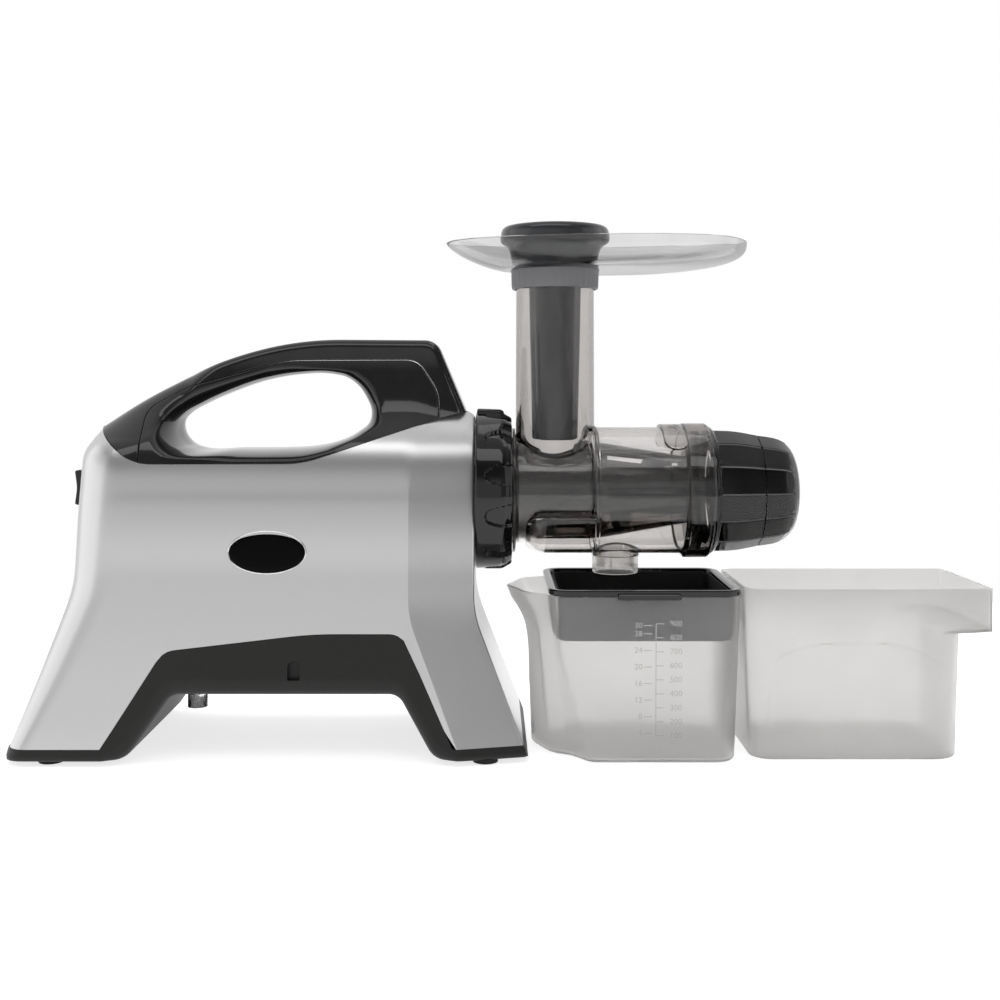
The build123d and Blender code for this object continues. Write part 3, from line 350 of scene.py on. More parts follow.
def finish(name, tones, grain, constants, tone_span=(0.35, 0.65)):
    """What all finishes here share: two close tones of one colour in soft patches, as handling and moulding
    leave them, and a fine relief. Tones are (dark, light, patches per metre) and the grain is (grains per
    metre, strength, height in metres, octaves). Constants go onto the shader's own sockets."""
    material, tree = blank_material(name)
    place_on = node(tree, "TexCoord").outputs["Object"]
    dark, light, patches = tones
    patch = node(tree, "TexNoise", {"Vector": place_on, "Scale": patches, "Detail": 3.0})
    tone = node(tree, "ValToRGB", {"Fac": patch.outputs["Fac"]})
    for element, position, colour in zip(tone.color_ramp.elements, tone_span, (dark, light)):
        element.position, element.color = position, colour
    scale, strength, height, octaves = grain
    grains = node(tree, "TexNoise", {"Vector": place_on, "Scale": scale, "Detail": octaves})
    relief = node(tree, "Bump", {"Height": grains.outputs["Fac"], "Strength": strength, "Distance": height})
    shader = node(tree, "BsdfPrincipled", {
        "Base Color": tone.outputs["Color"], "Normal": relief.outputs["Normal"], **constants})
    node(tree, "OutputMaterial", {"Surface": shader.outputs["BSDF"]})
    return material


def satin_silver_paint(colour):
    """Metallic silver paint, sprayed on ABS: aluminium flakes about 0.1 mm across, drawn at 0.4 mm so that
    they show, under a thin lacquer that rounds every highlight off softly."""
    return finish("satin_silver_paint", (toned(colour, 0.93), colour, 2500), (2500, 0.15, 0.02 * MM, 2.0),
                  {"Metallic": 0.85, "Roughness": 0.29, "Coat Weight": 0.1, "Coat Roughness": 0.25},
                  tone_span=(0.3, 0.7))


def polished_black_abs(colour, name="polished_black_abs", roughness=0.09):
    """ABS from a mirror-polished mould: deep black that shows the room, with the slow ripple of a moulded
    wall, about 45 mm long, in its reflections."""
    return finish(name, (colour, toned(colour, 1.35), 60), (22, 0.25, 0.25 * MM, 0.0),
                  {"Roughness": roughness, "IOR": 1.46})


def eroded_abs(colour, name="eroded_abs", roughness=0.55, grain=1300, specular=0.5):
    """ABS from a spark-eroded mould: an even sand-like texture about 0.3 mm across, drawn at 0.7 mm. It
    scatters light, so that a face looks the same from all sides."""
    return finish(name, (colour, toned(colour, 1.12), 300), (grain, 0.5, 0.05 * MM, 2.0),
                  {"Roughness": roughness, "IOR": 1.5, "Specular IOR Level": specular})


def clear_tinted(colour, name, per_metre, roughness=0.03):
    """Clear moulded plastic with a tint in its mass: light is lost along its way through the wall, so that
    a face looks pale and an edge, where the wall is seen along its length, looks dark. Its slow ripple is
    about 33 mm long."""
    material = finish(name, ((0.965, 0.965, 0.965, 1), (1, 1, 1, 1), 40), (30, 0.12, 0.2 * MM, 0.0),
                      {"Transmission Weight": 1.0, "Roughness": roughness, "IOR": 1.46})
    tree = material.node_tree
    mass = node(tree, "VolumeAbsorption", {"Color": colour, "Density": per_metre})
    tree.links.new(mass.outputs["Volume"], tree.nodes["Material Output"].inputs["Volume"])
    return material


def frosted_polypropylene(colour, name="frosted_polypropylene", clear=0.9):
    """Natural polypropylene from a blasted mould with a grain of about 0.2 mm, drawn at 0.55 mm: milky, it
    lets light through but blurs what lies behind."""
    return finish(name, (colour, toned(colour, 1.04), 35), (1800, 0.2, 0.02 * MM, 2.0),
                  {"Transmission Weight": clear, "Roughness": 0.32, "IOR": 1.14})


def milled_metal(colour, name, roughness):
    """Bare metal as machined, cast or drawn: fine marks about 0.2 mm apart, drawn at 0.5 mm, which break up
    the room's reflection."""
    return finish(name, (toned(colour, 0.85), colour, 400), (2000, 0.3, 0.02 * MM, 2.0),
                  {"Metallic": 1.0, "Roughness": roughness})


def polished_nickel():
    """Nickel plating on a moulded rim: a bright line with a faint haze from wiping."""
    return milled_metal(linear("#c9c9c9"), "polished_nickel", 0.12)


def shared(maker, colour):
    """The maker's finish in its own name, made once."""
    return bpy.data.materials.get(maker.__name__) or maker(colour)


# ---------------------------------------------------------------- the machine's body
# (station, height) corners of the side view, in millimetres
REAR_FOOT, REAR_KNEE, REAR_TOP = (-332.5, 3), (-294, 120), (-291.3, 218.5)
HANDLE_REAR, HANDLE_BACK, HANDLE_BEND = (-280, 236.5), (-250, 257), (-190, 287.3)
HANDLE_CROWN, HANDLE_NOSE, HANDLE_FRONT = (-130, 302.2), (-29, 301.5), (-6.5, 248)
SHOULDER, FRONT_KNEE, FRONT_FOOT = (0, 244), (0, 103), (38.5, 3)
SECTION_HEIGHTS = [0, 50, 130, 187.5, 224, 249, 275, 307]
SECTION_HALVES = [82.5, 75.5, 67, 62.5, 52, 31, 21.5, 17]  # half width of the body at each height
HOLE = [(-212.9, 219.9), (-220.5, 222.8), (-225, 228), (-226.2, 234.5), (-224.6, 240.5), (-219.5, 245.8),
        (-205.5, 253.8), (-185.4, 262.6), (-159.6, 271.4), (-134.1, 275.9), (-108.8, 276.2), (-97.4, 273.6),
        (-89.5, 268.2), (-82.1, 257.8), (-78.6, 248.6), (-79.6, 240.2), (-88.2, 232.5), (-108.8, 223.9),
        (-126.4, 220.8), (-144, 219.9), (-178, 219.6)]
SEAM = [(-240.5, 190), (-244, 250), (-215, 266), (-143, 285.8), (-43, 286.2), (-27, 262), (-26, 225)]
SEAM_ROUNDS = [0, 14, 60, 100, 16, 30, 0]
PLATE_TOP = 12.0  # of the base's flat feet
SOLE = 3.0  # of the base, over the rubber pads
FACET_END = 2.5 * MM  # radius where the facet meets the front face
FINE_EDGE = 0.4 * MM


def side_line(corners, radii):
    """Dense (x, z) line through (station, height) corners with their rounds."""
    points = np.asarray(corners, float) * MM + (FRONT_X, 0)
    return line_of(rounded(points, np.asarray(radii, float) * MM, 12, closed=False))


def spot(station, height):
    """A point of the side view, from millimetres."""
    return np.array([FRONT_X + station * MM, height * MM])


SILHOUETTE = side_line(
    [REAR_FOOT, REAR_KNEE, REAR_TOP, HANDLE_REAR, HANDLE_BACK, HANDLE_BEND, HANDLE_CROWN, HANDLE_NOSE,
     HANDLE_FRONT, SHOULDER, FRONT_KNEE, FRONT_FOOT],
    [0, 80, 30, 14, 300, 280, 240, 13, 2, 6, 70, 0],
)
REAR_LINE = side_line([REAR_FOOT, REAR_KNEE, REAR_TOP, HANDLE_REAR, HANDLE_BACK], [0, 80, 24, 14, 0])
FRONT_LINE = side_line([FRONT_FOOT, FRONT_KNEE, (0, 250)], [0, 70, 0])
PARTING = side_line([HANDLE_REAR, (-246, 210.3), (-124, 210.5), (-24, 243.5), HANDLE_FRONT],
                    [0, 40, 80, 50, 0])
HOUSING_TOP = np.vstack([PARTING, side_line([HANDLE_FRONT, SHOULDER, (0, 238)], [0, 6, 0])[1:]])
ARCH = side_line(
    [(-262, PLATE_TOP), (-220, 79), (-115, 91), (-51, 91), (-15, PLATE_TOP)], [0, 16, 300, 14, 0]
)


def half_width(z):
    """Half width of the body's section at a height."""
    return through(np.array(SECTION_HEIGHTS) * MM, np.array(SECTION_HALVES) * MM, z)


def rear_x(z):
    """Where the rear wall is at a height."""
    return np.interp(z, REAR_LINE[:, 1], REAR_LINE[:, 0])


def front_x(z):
    """Where the front face is at a height."""
    return np.interp(z, FRONT_LINE[:, 1], FRONT_LINE[:, 0])


def rear_round(z, sizes):
    """Radius of the rear corners: small at the foot, full at the shoulder."""
    return sizes.rear_round * through(mm(0, 60, 150, 250).ravel(), [0.35, 0.7, 1.0, 1.0], z)


def body_side(x, z, sizes):
    """Half width of the body at (x, z): its section, less the rear corner's round or the outer edge's,
    and less the slanted facet beside the front face, which fades out up the handle."""
    edge = distance_to(SILHOUETTE, x, z)
    on_handle = step(FRONT_X - 0.25, FRONT_X - 0.19, x)
    at_front = step(FRONT_X - 0.02, FRONT_X, x) * step(0.25, 0.235, z)
    radius = rear_round(z, sizes) + (sizes.grip_round - rear_round(z, sizes)) * on_handle
    radius = radius + (FACET_END - radius) * at_front
    radius = np.minimum(radius, half_width(z) * 0.75)
    run = (x - front_x(z)) / sizes.facet_length + 1
    softness = 0.05  # how softly the facet sets in, as a share of its length
    facet = sizes.facet_depth * 0.5 * (run + np.sqrt(run**2 + softness**2)) * (1 - step(0.222, 0.262, z))
    return half_width(z) - round_over(edge, radius) - facet


def housing_ring(rear, front, half, crease, corner, sizes):
    """Plan of the housing as one ring: rear corners, long sides, crease, facets and front face."""
    facet, depth = sizes.facet_length, sizes.facet_depth
    corners = [(front, depth - half), (front - facet, -half), (rear, -half), (rear, half),
               (front - facet, half), (front, half - depth)]
    radii = [FACET_END, crease, corner, corner, crease, FACET_END]
    return ring_between(corners, radii, 10, (10, 80, 14, 80, 10, 16))


def housing_grid(sizes):
    """Rows climb from the base's edge to the handle's. Every plan point depends evenly on the rear, the
    front, the half width and the two radii at its height, so each column is solved in rounds for the
    heights where it meets them. The crease is sharp low down and melts into the shoulder."""
    rows, rounds = 72, 60
    start, nudge = (-0.3, 0.0, 0.06, 0.01, 0.02), 0.01
    base = housing_ring(*start, sizes)
    slopes = []
    for k in range(len(start)):
        moved = list(start)
        moved[k] += nudge
        slopes.append((housing_ring(*moved, sizes) - base) / nudge)

    def plan(z):
        crease = mm(3.0) + mm(50.0) * step(0.185, 0.222, z)
        now = [value - first for value, first in
               zip((rear_x(z), front_x(z), half_width(z), crease, rear_round(z, sizes)), start)]
        return base + sum(s[None] * v[..., None] for s, v in zip(slopes, now))

    share = np.linspace(0, 1, rows)[:, None]
    z = np.broadcast_to(0.01 + 0.2 * share, (rows, len(base)))
    for _ in range(rounds):
        x = plan(z)[..., 0]
        low = np.interp(x, ARCH[:, 0], ARCH[:, 1])
        high = np.interp(x, HOUSING_TOP[:, 0], HOUSING_TOP[:, 1])
        z = 0.5 * z + 0.5 * (low + share * (high - low))
    return np.concatenate([plan(z), z[..., None]], axis=-1)


def handle_lines():
    """The handle's three matched lines round the finger hole: hole edge, cover seam and outer edge."""
    first = np.linalg.norm(SILHOUETTE - spot(*HANDLE_REAR), axis=1).argmin()
    last = np.linalg.norm(SILHOUETTE - spot(*HANDLE_FRONT), axis=1).argmin()
    crown = SILHOUETTE[first:last + 1]
    dense = 5000
    outer = resampled(np.vstack([crown, PARTING[::-1]]), dense, closed=True)
    hole = loop_through(mm(*HOLE) + (FRONT_X, 0), dense)
    seam = resampled(side_line(SEAM, SEAM_ROUNDS), 3000)
    # matched spots on the outer edge, the seam and the hole, and the number of points up to the next ones
    keys = [
        ((-241.2, 210.4), (-241.2, 210.4), (-214, 220), 34),
        (HANDLE_REAR, (-243, 244), (-226, 236), 60),
        ((-130, 302), (-125, 286), (-140, 275.5), 44),
        ((-26, 297), (-36, 281), (-95, 272.5), 30),
        (HANDLE_FRONT, (-26.3, 252), (-79, 249), 20),
        ((-26.2, 242.6), (-26.2, 242.6), (-79.5, 241), 36),
        ((-124, 211), None, (-126, 221), 40),  # no seam below the hole
    ]
    lines = [[], [], []]
    for i, (out, join, inner, count) in enumerate(keys):
        next_out, next_join, next_inner, _ = keys[(i + 1) % len(keys)]
        edge = stretch(outer, spot(*out), spot(*next_out), count + 1)[:-1]
        lines[0].append(stretch(hole, spot(*inner), spot(*next_inner), count + 1)[:-1])
        lines[1].append(edge if next_join is None or join is None
                        else stretch(seam, spot(*join), spot(*next_join), count + 1)[:-1])
        lines[2].append(edge)
    cover_points = sum(key[3] for key in keys[:5])
    return [np.vstack(line) for line in lines], cover_points


def section_ring(start, end, inner_radius, outer_radius, sizes, waist=0.0):
    """Closed section between two matched lines: near face, end face, far face and start face. Points
    crowd towards the ends, where edges are rounded by the given radii. With a waist, the first edge is
    a quarter ellipse over that share of the half width, so that a hole is narrowest in its middle."""
    length = np.linalg.norm(end - start, axis=1)[None]
    tiny, across, along = 1e-6, 9, 36
    share = (1 - np.cos(np.linspace(0, pi, along)))[:, None] / 2
    x = start[None, :, 0] + (end - start)[None, :, 0] * share
    z = start[None, :, 1] + (end - start)[None, :, 1] * share
    side = body_side(x, z, sizes)
    reach = np.minimum(inner_radius, length * (0.8 if waist else 0.5) + tiny)
    side = side - round_over(share * length, reach) / reach * np.maximum(reach, side * waist)
    side = side - round_over((1 - share) * length, np.minimum(outer_radius, length / 2 + tiny))
    span = np.linspace(-1, 1, across + 2)[1:-1, None]
    near, over, far, under = (np.stack(np.broadcast_arrays(*parts), axis=-1) for parts in (
        (x, -side, z), (x[-1:], side[-1:] * span, z[-1:]), (x, side, z), (x[:1], -side[:1] * span, z[:1])))
    return np.concatenate([near, over, far[::-1], under])


# ---------------------------------------------------------------- shapes of the other pieces
GROOVE_HALF, GROOVE_DEPTH = 1.0, 1.0  # millimetres
CAP_RADIUS = 45.0  # at which a groove's width is taken


def paneled(rows, panels):
    """Revolve (station, radius, groove) rows, in millimetres, into panels parted by V grooves. Between the
    grooves the radius is part way from the circle to the flat r cos(h) / cos(a). A row's groove is the
    share of the full depth that its grooves have."""
    flat = 0.92
    station, radius, groove = np.array(rows, float).T[..., None]
    half = pi / panels
    gap = GROOVE_HALF / CAP_RADIUS
    offsets = np.concatenate([[-half], np.linspace(-half + gap, half - gap, 13)])
    angle = (2 * half * np.arange(panels)[:, None] + offsets[None]).ravel()
    in_groove = np.tile(offsets == -half, panels)[None]
    shape = np.tile((1 - flat) + flat * cos(half) / np.cos(offsets), panels)[None]
    shape = 1 + (shape - 1) * np.minimum(groove, 1)
    radius = radius * shape - GROOVE_DEPTH * groove * in_groove
    return bent(station * MM, radius * MM, angle)


def groove_lines(name, rows, panels):
    """Thin light strips at the bottoms of a panelled piece's V grooves where they are fully deep: a painted
    highlight, standing for the bright lines that the grooves' edges catch.
    """
    half, lift = 0.5, 0.04  # millimetres: half a strip's width, and its stand-off
    rows = np.array([(station, radius) for station, radius, groove in rows if groove == 1])
    across = np.array([-half, 0, half])
    middle = tau / panels * (np.arange(panels) - 0.5)
    angle = (middle[:, None] + across / CAP_RADIUS).ravel()
    radius = rows[:, 1:] - GROOVE_DEPTH + np.tile(np.abs(across), panels) + lift
    points = bent(rows[:, :1] * MM, radius * MM, angle)
    index = np.arange(points[..., 0].size).reshape(len(rows), panels, 3)
    quads = quads_of(index)
    mesh = bpy.data.meshes.new(name)
    mesh.from_pydata(points.reshape(-1, 3).tolist(), [], quads.reshape(-1, 4)[:, ::-1].tolist())
    return finished(bpy.data.objects.new(name, mesh))


def tray_outline(count):
    """The tray's plan: a smooth closed curve through its half outline and the mirror of it."""
    half = [(-22.1, 0), (-17.5, 16), (-5, 29), (21, 43), (61, 54), (98, 58), (149, 57), (181, 47),
            (200, 25), (207.3, 0)]
    return loop_through(mm(*half, *[(x, -y) for x, y in half[-2:0:-1]]) + (FRONT_X, 0), count)


def plan_rectangle(left, right, near, far, radius, inset=0.0):
    """Rounded rectangle in plan, moved inwards by an inset, with points along its sides too."""
    left, right, near, far = left + inset, right - inset, near + inset, far - inset
    return ring_between([(left, near), (right, near), (right, far), (left, far)],
                        [max(radius - inset, 0.2 * MM)] * 4)


JUG_NEARER = 18.0  # millimetres that the jug stands nearer than the drum's axis


def ringed(profile, z, left, right, near, far, radius):
    """Level rounded rectangles, one for each (inset, height over z) pair of a profile."""
    return stacked([plan_rectangle(left, right, near, far, radius, inset) for inset in profile[:, 0]],
                   z + profile[:, 1])


def upright_rings(bounds, radius, rows, wall_x=0.0):
    """Rounded rectangles square to X from (y, y, z, z) bounds in millimetres, one for each (inset, x)."""
    return np.array([np.insert(plan_rectangle(*mm(*bounds), radius * MM, inset), 0, wall_x + x, axis=1)
                     for inset, x in mm(*rows)])


def jug_half(z):
    """Half width of the jug at a height, in millimetres."""
    return through([0, 82, 118.5], [55, 57, 58], z)


def jug_outline(z, inset):
    """Plan of the jug at a height in millimetres: its sides, round right corners, and the broad nose, which
    meets the sides in a hollow and flares out towards the rim."""
    tip, nose_u, nose_y, hollow_u, hollow_y, shoulder = (
        through([0, 50, 82, 91, 100, 108, 118.5], values, z) for values in (
            [41, 39.6, 38.3, 36.4, 32.2, 27.0, 22.6],
            [55, 50, 46.6, 45.5, 43, 39.5, 35], [31, 30.5, 30, 31, 32, 33.5, 35],
            [69, 61, 56.5, 56, 55.5, 54.5, 53.5], [38, 42, 44, 44.5, 45, 45.5, 46],
            [83, 70, 61.5, 61, 61, 60.5, 60]))
    half = jug_half(z) - inset
    right = through([0, 82, 118.5], [186, 188.8, 190], z) - inset
    side = [(shoulder, half), (hollow_u + inset / 2, hollow_y - inset),
            (nose_u + inset / 2, nose_y - inset)]
    corners = [(right, half), *side, (tip + inset, 0.0), *[(u, -y) for u, y in side[::-1]], (right, -half)]
    loop = ring_between(corners, [14 - inset, 9, 9, 16, 16, 16, 9, 9, 14 - inset], 7, 12)
    return np.column_stack([FRONT_X + loop[:, 0] * MM, (loop[:, 1] - JUG_NEARER) * MM])


def printed(name, marks, numbers, near_y):
    """Flat print on a wall that faces -Y: marks are (left, right, low, high) bars and numbers are (text,
    station, height, size, right-aligned). The wall's y comes from near_y for each height."""
    corners = np.array(marks, float)
    points = [corners[:, [[0, 2], [1, 2], [1, 3], [0, 3]]].reshape(-1, 2)]
    faces = [np.arange(4 * len(corners)).reshape(-1, 4).tolist()]
    for text, station, height, size, at_right in numbers:
        curve = bpy.data.curves.new("number", "FONT")
        curve.body, curve.size, curve.resolution_u = text, size * 1.4, 3
        curve.align_x, curve.align_y = "RIGHT" if at_right else "LEFT", "CENTER"
        source = bpy.data.objects.new("number", curve)
        bpy.context.scene.collection.objects.link(source)
        evaluated = source.evaluated_get(bpy.context.evaluated_depsgraph_get())
        mesh = bpy.data.meshes.new_from_object(evaluated)
        flat = np.empty(3 * len(mesh.vertices), np.float32)
        mesh.vertices.foreach_get("co", flat)
        first = sum(len(block) for block in points)
        points.append(flat.reshape(-1, 3)[:, :2] + (station, height))
        faces.append([[first + corner for corner in face.vertices] for face in mesh.polygons])
        bpy.data.objects.remove(source)
        bpy.data.curves.remove(curve)
        bpy.data.meshes.remove(mesh)
    x, z = np.vstack(points).T
    mesh = bpy.data.meshes.new(name)
    points = np.column_stack([FRONT_X + x * MM, near_y(z) * MM, z * MM])
    mesh.from_pydata(points.tolist(), [], sum(faces, []))
    piece = bpy.data.objects.new(name, mesh)
    bpy.context.scene.collection.objects.link(piece)
    return piece


def jug_scale():
    """Scale printed on the jug's near wall: an upright line, hundreds of millilitres to its right and
    ounces to its left, as plain numbers without units."""
    low, pitch, ounce, line = 19.9, 9.93, 29.57, 128.2  # first mark, height of 100 ml, ml, station
    thin, size, lift = 0.3, 4.2, 0.35  # half a mark, a number's size, stand-off from the wall
    marks, numbers = [(line - thin, line + thin, low, low + 8 * pitch)], []
    for k in range(1, 10):
        height = low + (k - 1) * pitch
        marks.append((line, line + 5.6, height - thin, height + thin))
        numbers.append((str(100 * k), line + 9.8, height, size, False))
    for k in (4, 8, 12, 16, 20, 24, 28, 30):
        height = low + (k * ounce / 100 - 1) * pitch
        marks.append((line - 8.4, line - 2.6, height - thin, height + thin))
        numbers.append((str(k), line - 9.4, height, size, True))
    return printed("jug_scale", marks, numbers, lambda z: -(JUG_NEARER + lift) - jug_half(z))


def profile_of(corners, turns):
    """Open profile in millimetres with rounded corners, in metres."""
    return line_of(rounded(mm(*corners), np.array(turns, float) * MM, 6, closed=False))


def chute_grid(drum_radius):
    """Chute's outside: a straight wall flared by a quarter circle at its foot, where it follows the saddle
    z = axis + sqrt(R^2 - (r sin a)^2) of a round post on a round drum."""
    count = 144
    angle = tau * np.arange(count) / count
    reach, flare = mm(30.0), mm(4.0)
    saddle = AXIS_Z + np.sqrt(drum_radius**2 - ((reach + flare) * np.sin(angle)) ** 2)
    up = np.concatenate([[-12 * MM], flare * (1 - np.cos(np.linspace(0, pi / 2, 8)))])[:, None]
    rim = mm((29.6, 353.4), (29.2, 354.0))
    radius = np.vstack([reach + round_over(np.clip(up, 0, None), flare), rim[:, :1]])
    z = np.vstack([saddle + up, rim[:, 1:] + 0 * angle])
    return np.stack([CHUTE_X + radius * np.cos(angle), radius * np.sin(angle), z], axis=-1)


def channel_grid(start, end, outer, top, turn, count=120):
    """Juice channel under the feed part. Seen along X its section is a circle of the outer radius cut off
    at a level top, with the corners eased: the distance from a point inside is (c^-p + l^-p)^(-1/p) of the
    distances to circle and level. Towards the start, both draw in by a quarter circle."""
    power = 14
    x = np.concatenate([start + turn * (1 - np.cos(np.linspace(0, pi / 2, 12))), [end]])[:, None]
    draw_in = round_over(x - start, turn) * 0.8
    phi = tau * np.arange(count)[None] / count
    radius, level = outer - draw_in, top - draw_in
    middle = level - 0.5 * (level - AXIS_Z + radius)
    drop = AXIS_Z - middle
    to_circle = -drop * np.cos(phi) + np.sqrt(radius**2 - (drop * np.sin(phi)) ** 2)
    to_level = (level - middle) / np.maximum(-np.cos(phi), 1e-3)
    reach = (to_circle**-power + to_level**-power) ** (-1 / power)
    return np.stack([FRONT_X + x + 0 * phi, reach * np.sin(phi), middle - reach * np.cos(phi)], axis=-1)


def drum_patch():
    """Raised bare patch bent over the chamber's top: a round-ended outline, scaled towards its middle."""
    corners = [(-9, -42), (9, -42), (9, 42), (-9, 42)]
    outline = ring_between(mm(*corners), np.full(4, 8.8 * MM), 9, 14)
    scale, radius = np.array([(1, 46.5), (1, 49.7), (0.985, 50.2), (0.96, 50.4), (0.8, 50.4), (0.5, 50.4),
                              (0.2, 50.4), (0.02, 50.4)]).T[..., None]
    return bent(mm(149.5) + outline[:, 0] * scale, radius * MM, outline[:, 1] * scale / mm(50))


def turned_bar(start, end, half, low, high, turn):
    """Short bar across the drum's axis, turned about it: a bayonet lug."""
    section = np.array([(-half, low), (half, low), (half, high), (-half, high)])
    y, z = section.T
    turned = np.column_stack([y * cos(turn) + z * sin(turn), z * cos(turn) - y * sin(turn)])
    return np.stack([np.column_stack([np.full(4, FRONT_X + u), turned[:, 0], AXIS_Z + turned[:, 1]])
                     for u in (start, end)])


def perforated(name, start, end, low, high, radius, pitch=1.6 * MM):
    """Thin sheet bent round the axis, with square holes in alternate cells of its grid."""
    rows = 2 * int((end - start) / pitch) + 1
    columns = 2 * int(abs(high - low) * radius / pitch) + 1
    x = np.linspace(start, end, rows + 1)[:, None]
    angle = np.linspace(low, high, columns + 1)[None]
    points = bent(x, radius, angle)
    hole = (np.arange(rows)[:, None] % 2 == 1) & (np.arange(columns)[None] % 2 == 1)
    quads = quads_of(np.arange((rows + 1) * (columns + 1)).reshape(rows + 1, columns + 1))[~hole]
    corner = points.reshape(-1, 3)[quads]
    facing = (np.cross(corner[:, 1] - corner[:, 0], corner[:, 3] - corner[:, 0])
              * (corner[:, 0] - [0, 0, AXIS_Z]) * [0, 1, 1]).sum()
    mesh = bpy.data.meshes.new(name)
    mesh.from_pydata(points.reshape(-1, 3).tolist(), [], (quads if facing > 0 else quads[:, ::-1]).tolist())
    return walled(finished(bpy.data.objects.new(name, mesh)), 0.4 * MM)


# ---------------------------------------------------------------- sizes and colours that a user may change
def length(name, value, about):
    """A size property, from millimetres."""
    return FloatProperty(name=name, description=about, default=value * MM, min=0.0, unit="LENGTH",
                         precision=4)


def colour(name, hex_colour, about):
    """A colour property, from sRGB hex."""
    return FloatVectorProperty(name=name, description=about, default=linear(hex_colour), size=4, min=0,
                               max=1, subtype="COLOR")


class JuicerSizes(bpy.types.PropertyGroup):
    facet_length: length("Facet length", 47, "Run of the slanted facet beside the front face")
    facet_depth: length("Facet depth", 11, "How far the facet turns in")
    rear_round: length("Rear corner", 36, "Radius of the housing's rear corners, at the shoulder")
    grip_round: length("Handle edge", 6, "Radius of the handle's upper edges")
    hole_round: length("Finger hole edge", 12, "Reach of the round edge about the finger hole")
    base_round: length("Base edge", 13, "Radius of the base's lower edge over the arch")
    wall: length("Housing wall", 3, "Thickness of the housing's wall")
    seam_gap: length("Seam", 0.5, "Groove between the handle and its top cover")
    flutes: IntProperty(name="Cap panels", description="Panels round the end cap", default=14, min=6,
                        max=30)
    scallops: IntProperty(name="Clip recesses", description="Finger recesses round the clip", default=12,
                          min=4, max=24)


class JuicerColours(bpy.types.PropertyGroup):
    silver: colour("Silver paint", "#c8c8c8", "Housing")
    handle_black: colour("Handle black", "#1a1a1a", "Handle, its cover, the switch and the drum's socket")
    base_grey: colour("Base grey", "#1c1b1a", "Base")
    clip_black: colour("Clip black", "#0b0b0b", "Turning clip and the strainer's rim")
    smoke: colour("Smoke tint", "#8c8078", "Drum and its chute: what its mass lets through")
    clear: colour("Clear tint", "#606060", "Tray and drain stub: what their mass lets through")
    cap_smoke: colour("Dark smoke", "#404040", "End cap and dial: what their mass lets through")
    # painted highlight: light grey strips in the grooves stand for the bright lines that the groove edges
    # catch
    groove_grey: colour("Groove grey", "#6f6e70", "Bottoms of the grooves round the end cap and dial")
    frost: colour("Frosted", "#dad9d8", "Jug and bin")
    spout: colour("Spout", "#f4f3f1", "Spout")
    collar_grey: colour("Collar grey", "#96969a", "Tray collar")
    pusher_grey: colour("Pusher grey", "#2a2b2e", "Pusher")
    screen_grey: colour("Screen brown", "#806b58", "Juicing screen: what its mass lets through")
    auger_black: colour("Auger black", "#121110", "Auger")
    strainer_grey: colour("Strainer grey", "#6a6c6f", "Strainer basket")
    liner_black: colour("Liner black", "#171615", "Inside of the strainer")
    print_grey: colour("Print", "#c4c4c2", "Scale printed on the jug")


def sizes():
    """The user's sizes."""
    return bpy.context.scene.juicer_sizes


def colours():
    """The user's colours."""
    return bpy.context.scene.juicer_colours


# ---------------------------------------------------------------- operators
class Build:
    """What the operators share."""

    bl_options = {"REGISTER", "UNDO"}


class JUICER_OT_housing(Build, bpy.types.Operator):
    """Silver housing: upright rear, flared legs and a slanted facet on each front corner"""

    bl_idname = "juicer.housing"
    bl_label = "Housing"

    def execute(self, context):
        s = sizes()
        shell = walled(surface("housing_skin", housing_grid(s), crease=50), s.wall)
        switch_hole = closed_solid("switch_hole", upright_rings(
            (-11.5, 11.5, 173.5, 206.5), 3, [(0, -330), (0, -290)]))
        drive_hole = closed_solid("drive_hole", about_x(mm((-30, 37.4), (10, 37.4))))
        shell = combined(shell, [switch_hole, drive_hole], "DIFFERENCE", 40)
        place(shell, "machine", "silver_shell", satin_silver_paint(colours().silver), "housing_shell")
        return {"FINISHED"}


class JUICER_OT_switch(Build, bpy.types.Operator):
    """Rear rocker switch: a saddle-shaped rocker standing out of a rounded bezel"""

    bl_idname = "juicer.switch"
    bl_label = "Rear switch"

    def execute(self, context):
        black = shared(polished_black_abs, colours().handle_black)
        middle_z = mm(190.0)
        wall_x = rear_x(middle_z)
        bezel = surface("switch_bezel_skin", upright_rings(
            (-13.5, 13.5, 171, 209), 5,
            [(0, 8), (0, -2.6), (0.4, -3.4), (1.2, -3.8), (2.2, -3.8), (2.7, -3.4), (2.8, 8)], wall_x),
            wrap_rows=True)
        place(bezel, "machine", "switch_black", black, "switch_bezel")
        corners = [(6, -9), (-8, -13.4), (-11.3, -12.8), (-9.6, 0), (-11.3, 12.8), (-8, 13.4), (6, 9)]
        side = line_of(rounded(mm(*corners), mm(1, 1, 1.2, 30, 1.2, 1, 1), 8))
        y, share = np.array([(-9.6, 0.96), (-9.2, 0.99), (-8.6, 1), (8.6, 1), (9.2, 0.99),
                             (9.6, 0.96)]).T[..., None]
        rocker = closed_solid("switch_rocker_skin", np.stack(np.broadcast_arrays(
            wall_x + side[:, 0] * share, y * MM, middle_z + side[:, 1] * share), axis=-1))
        place(rocker, "switch", "switch_black", black, "switch_rocker")
        return {"FINISHED"}


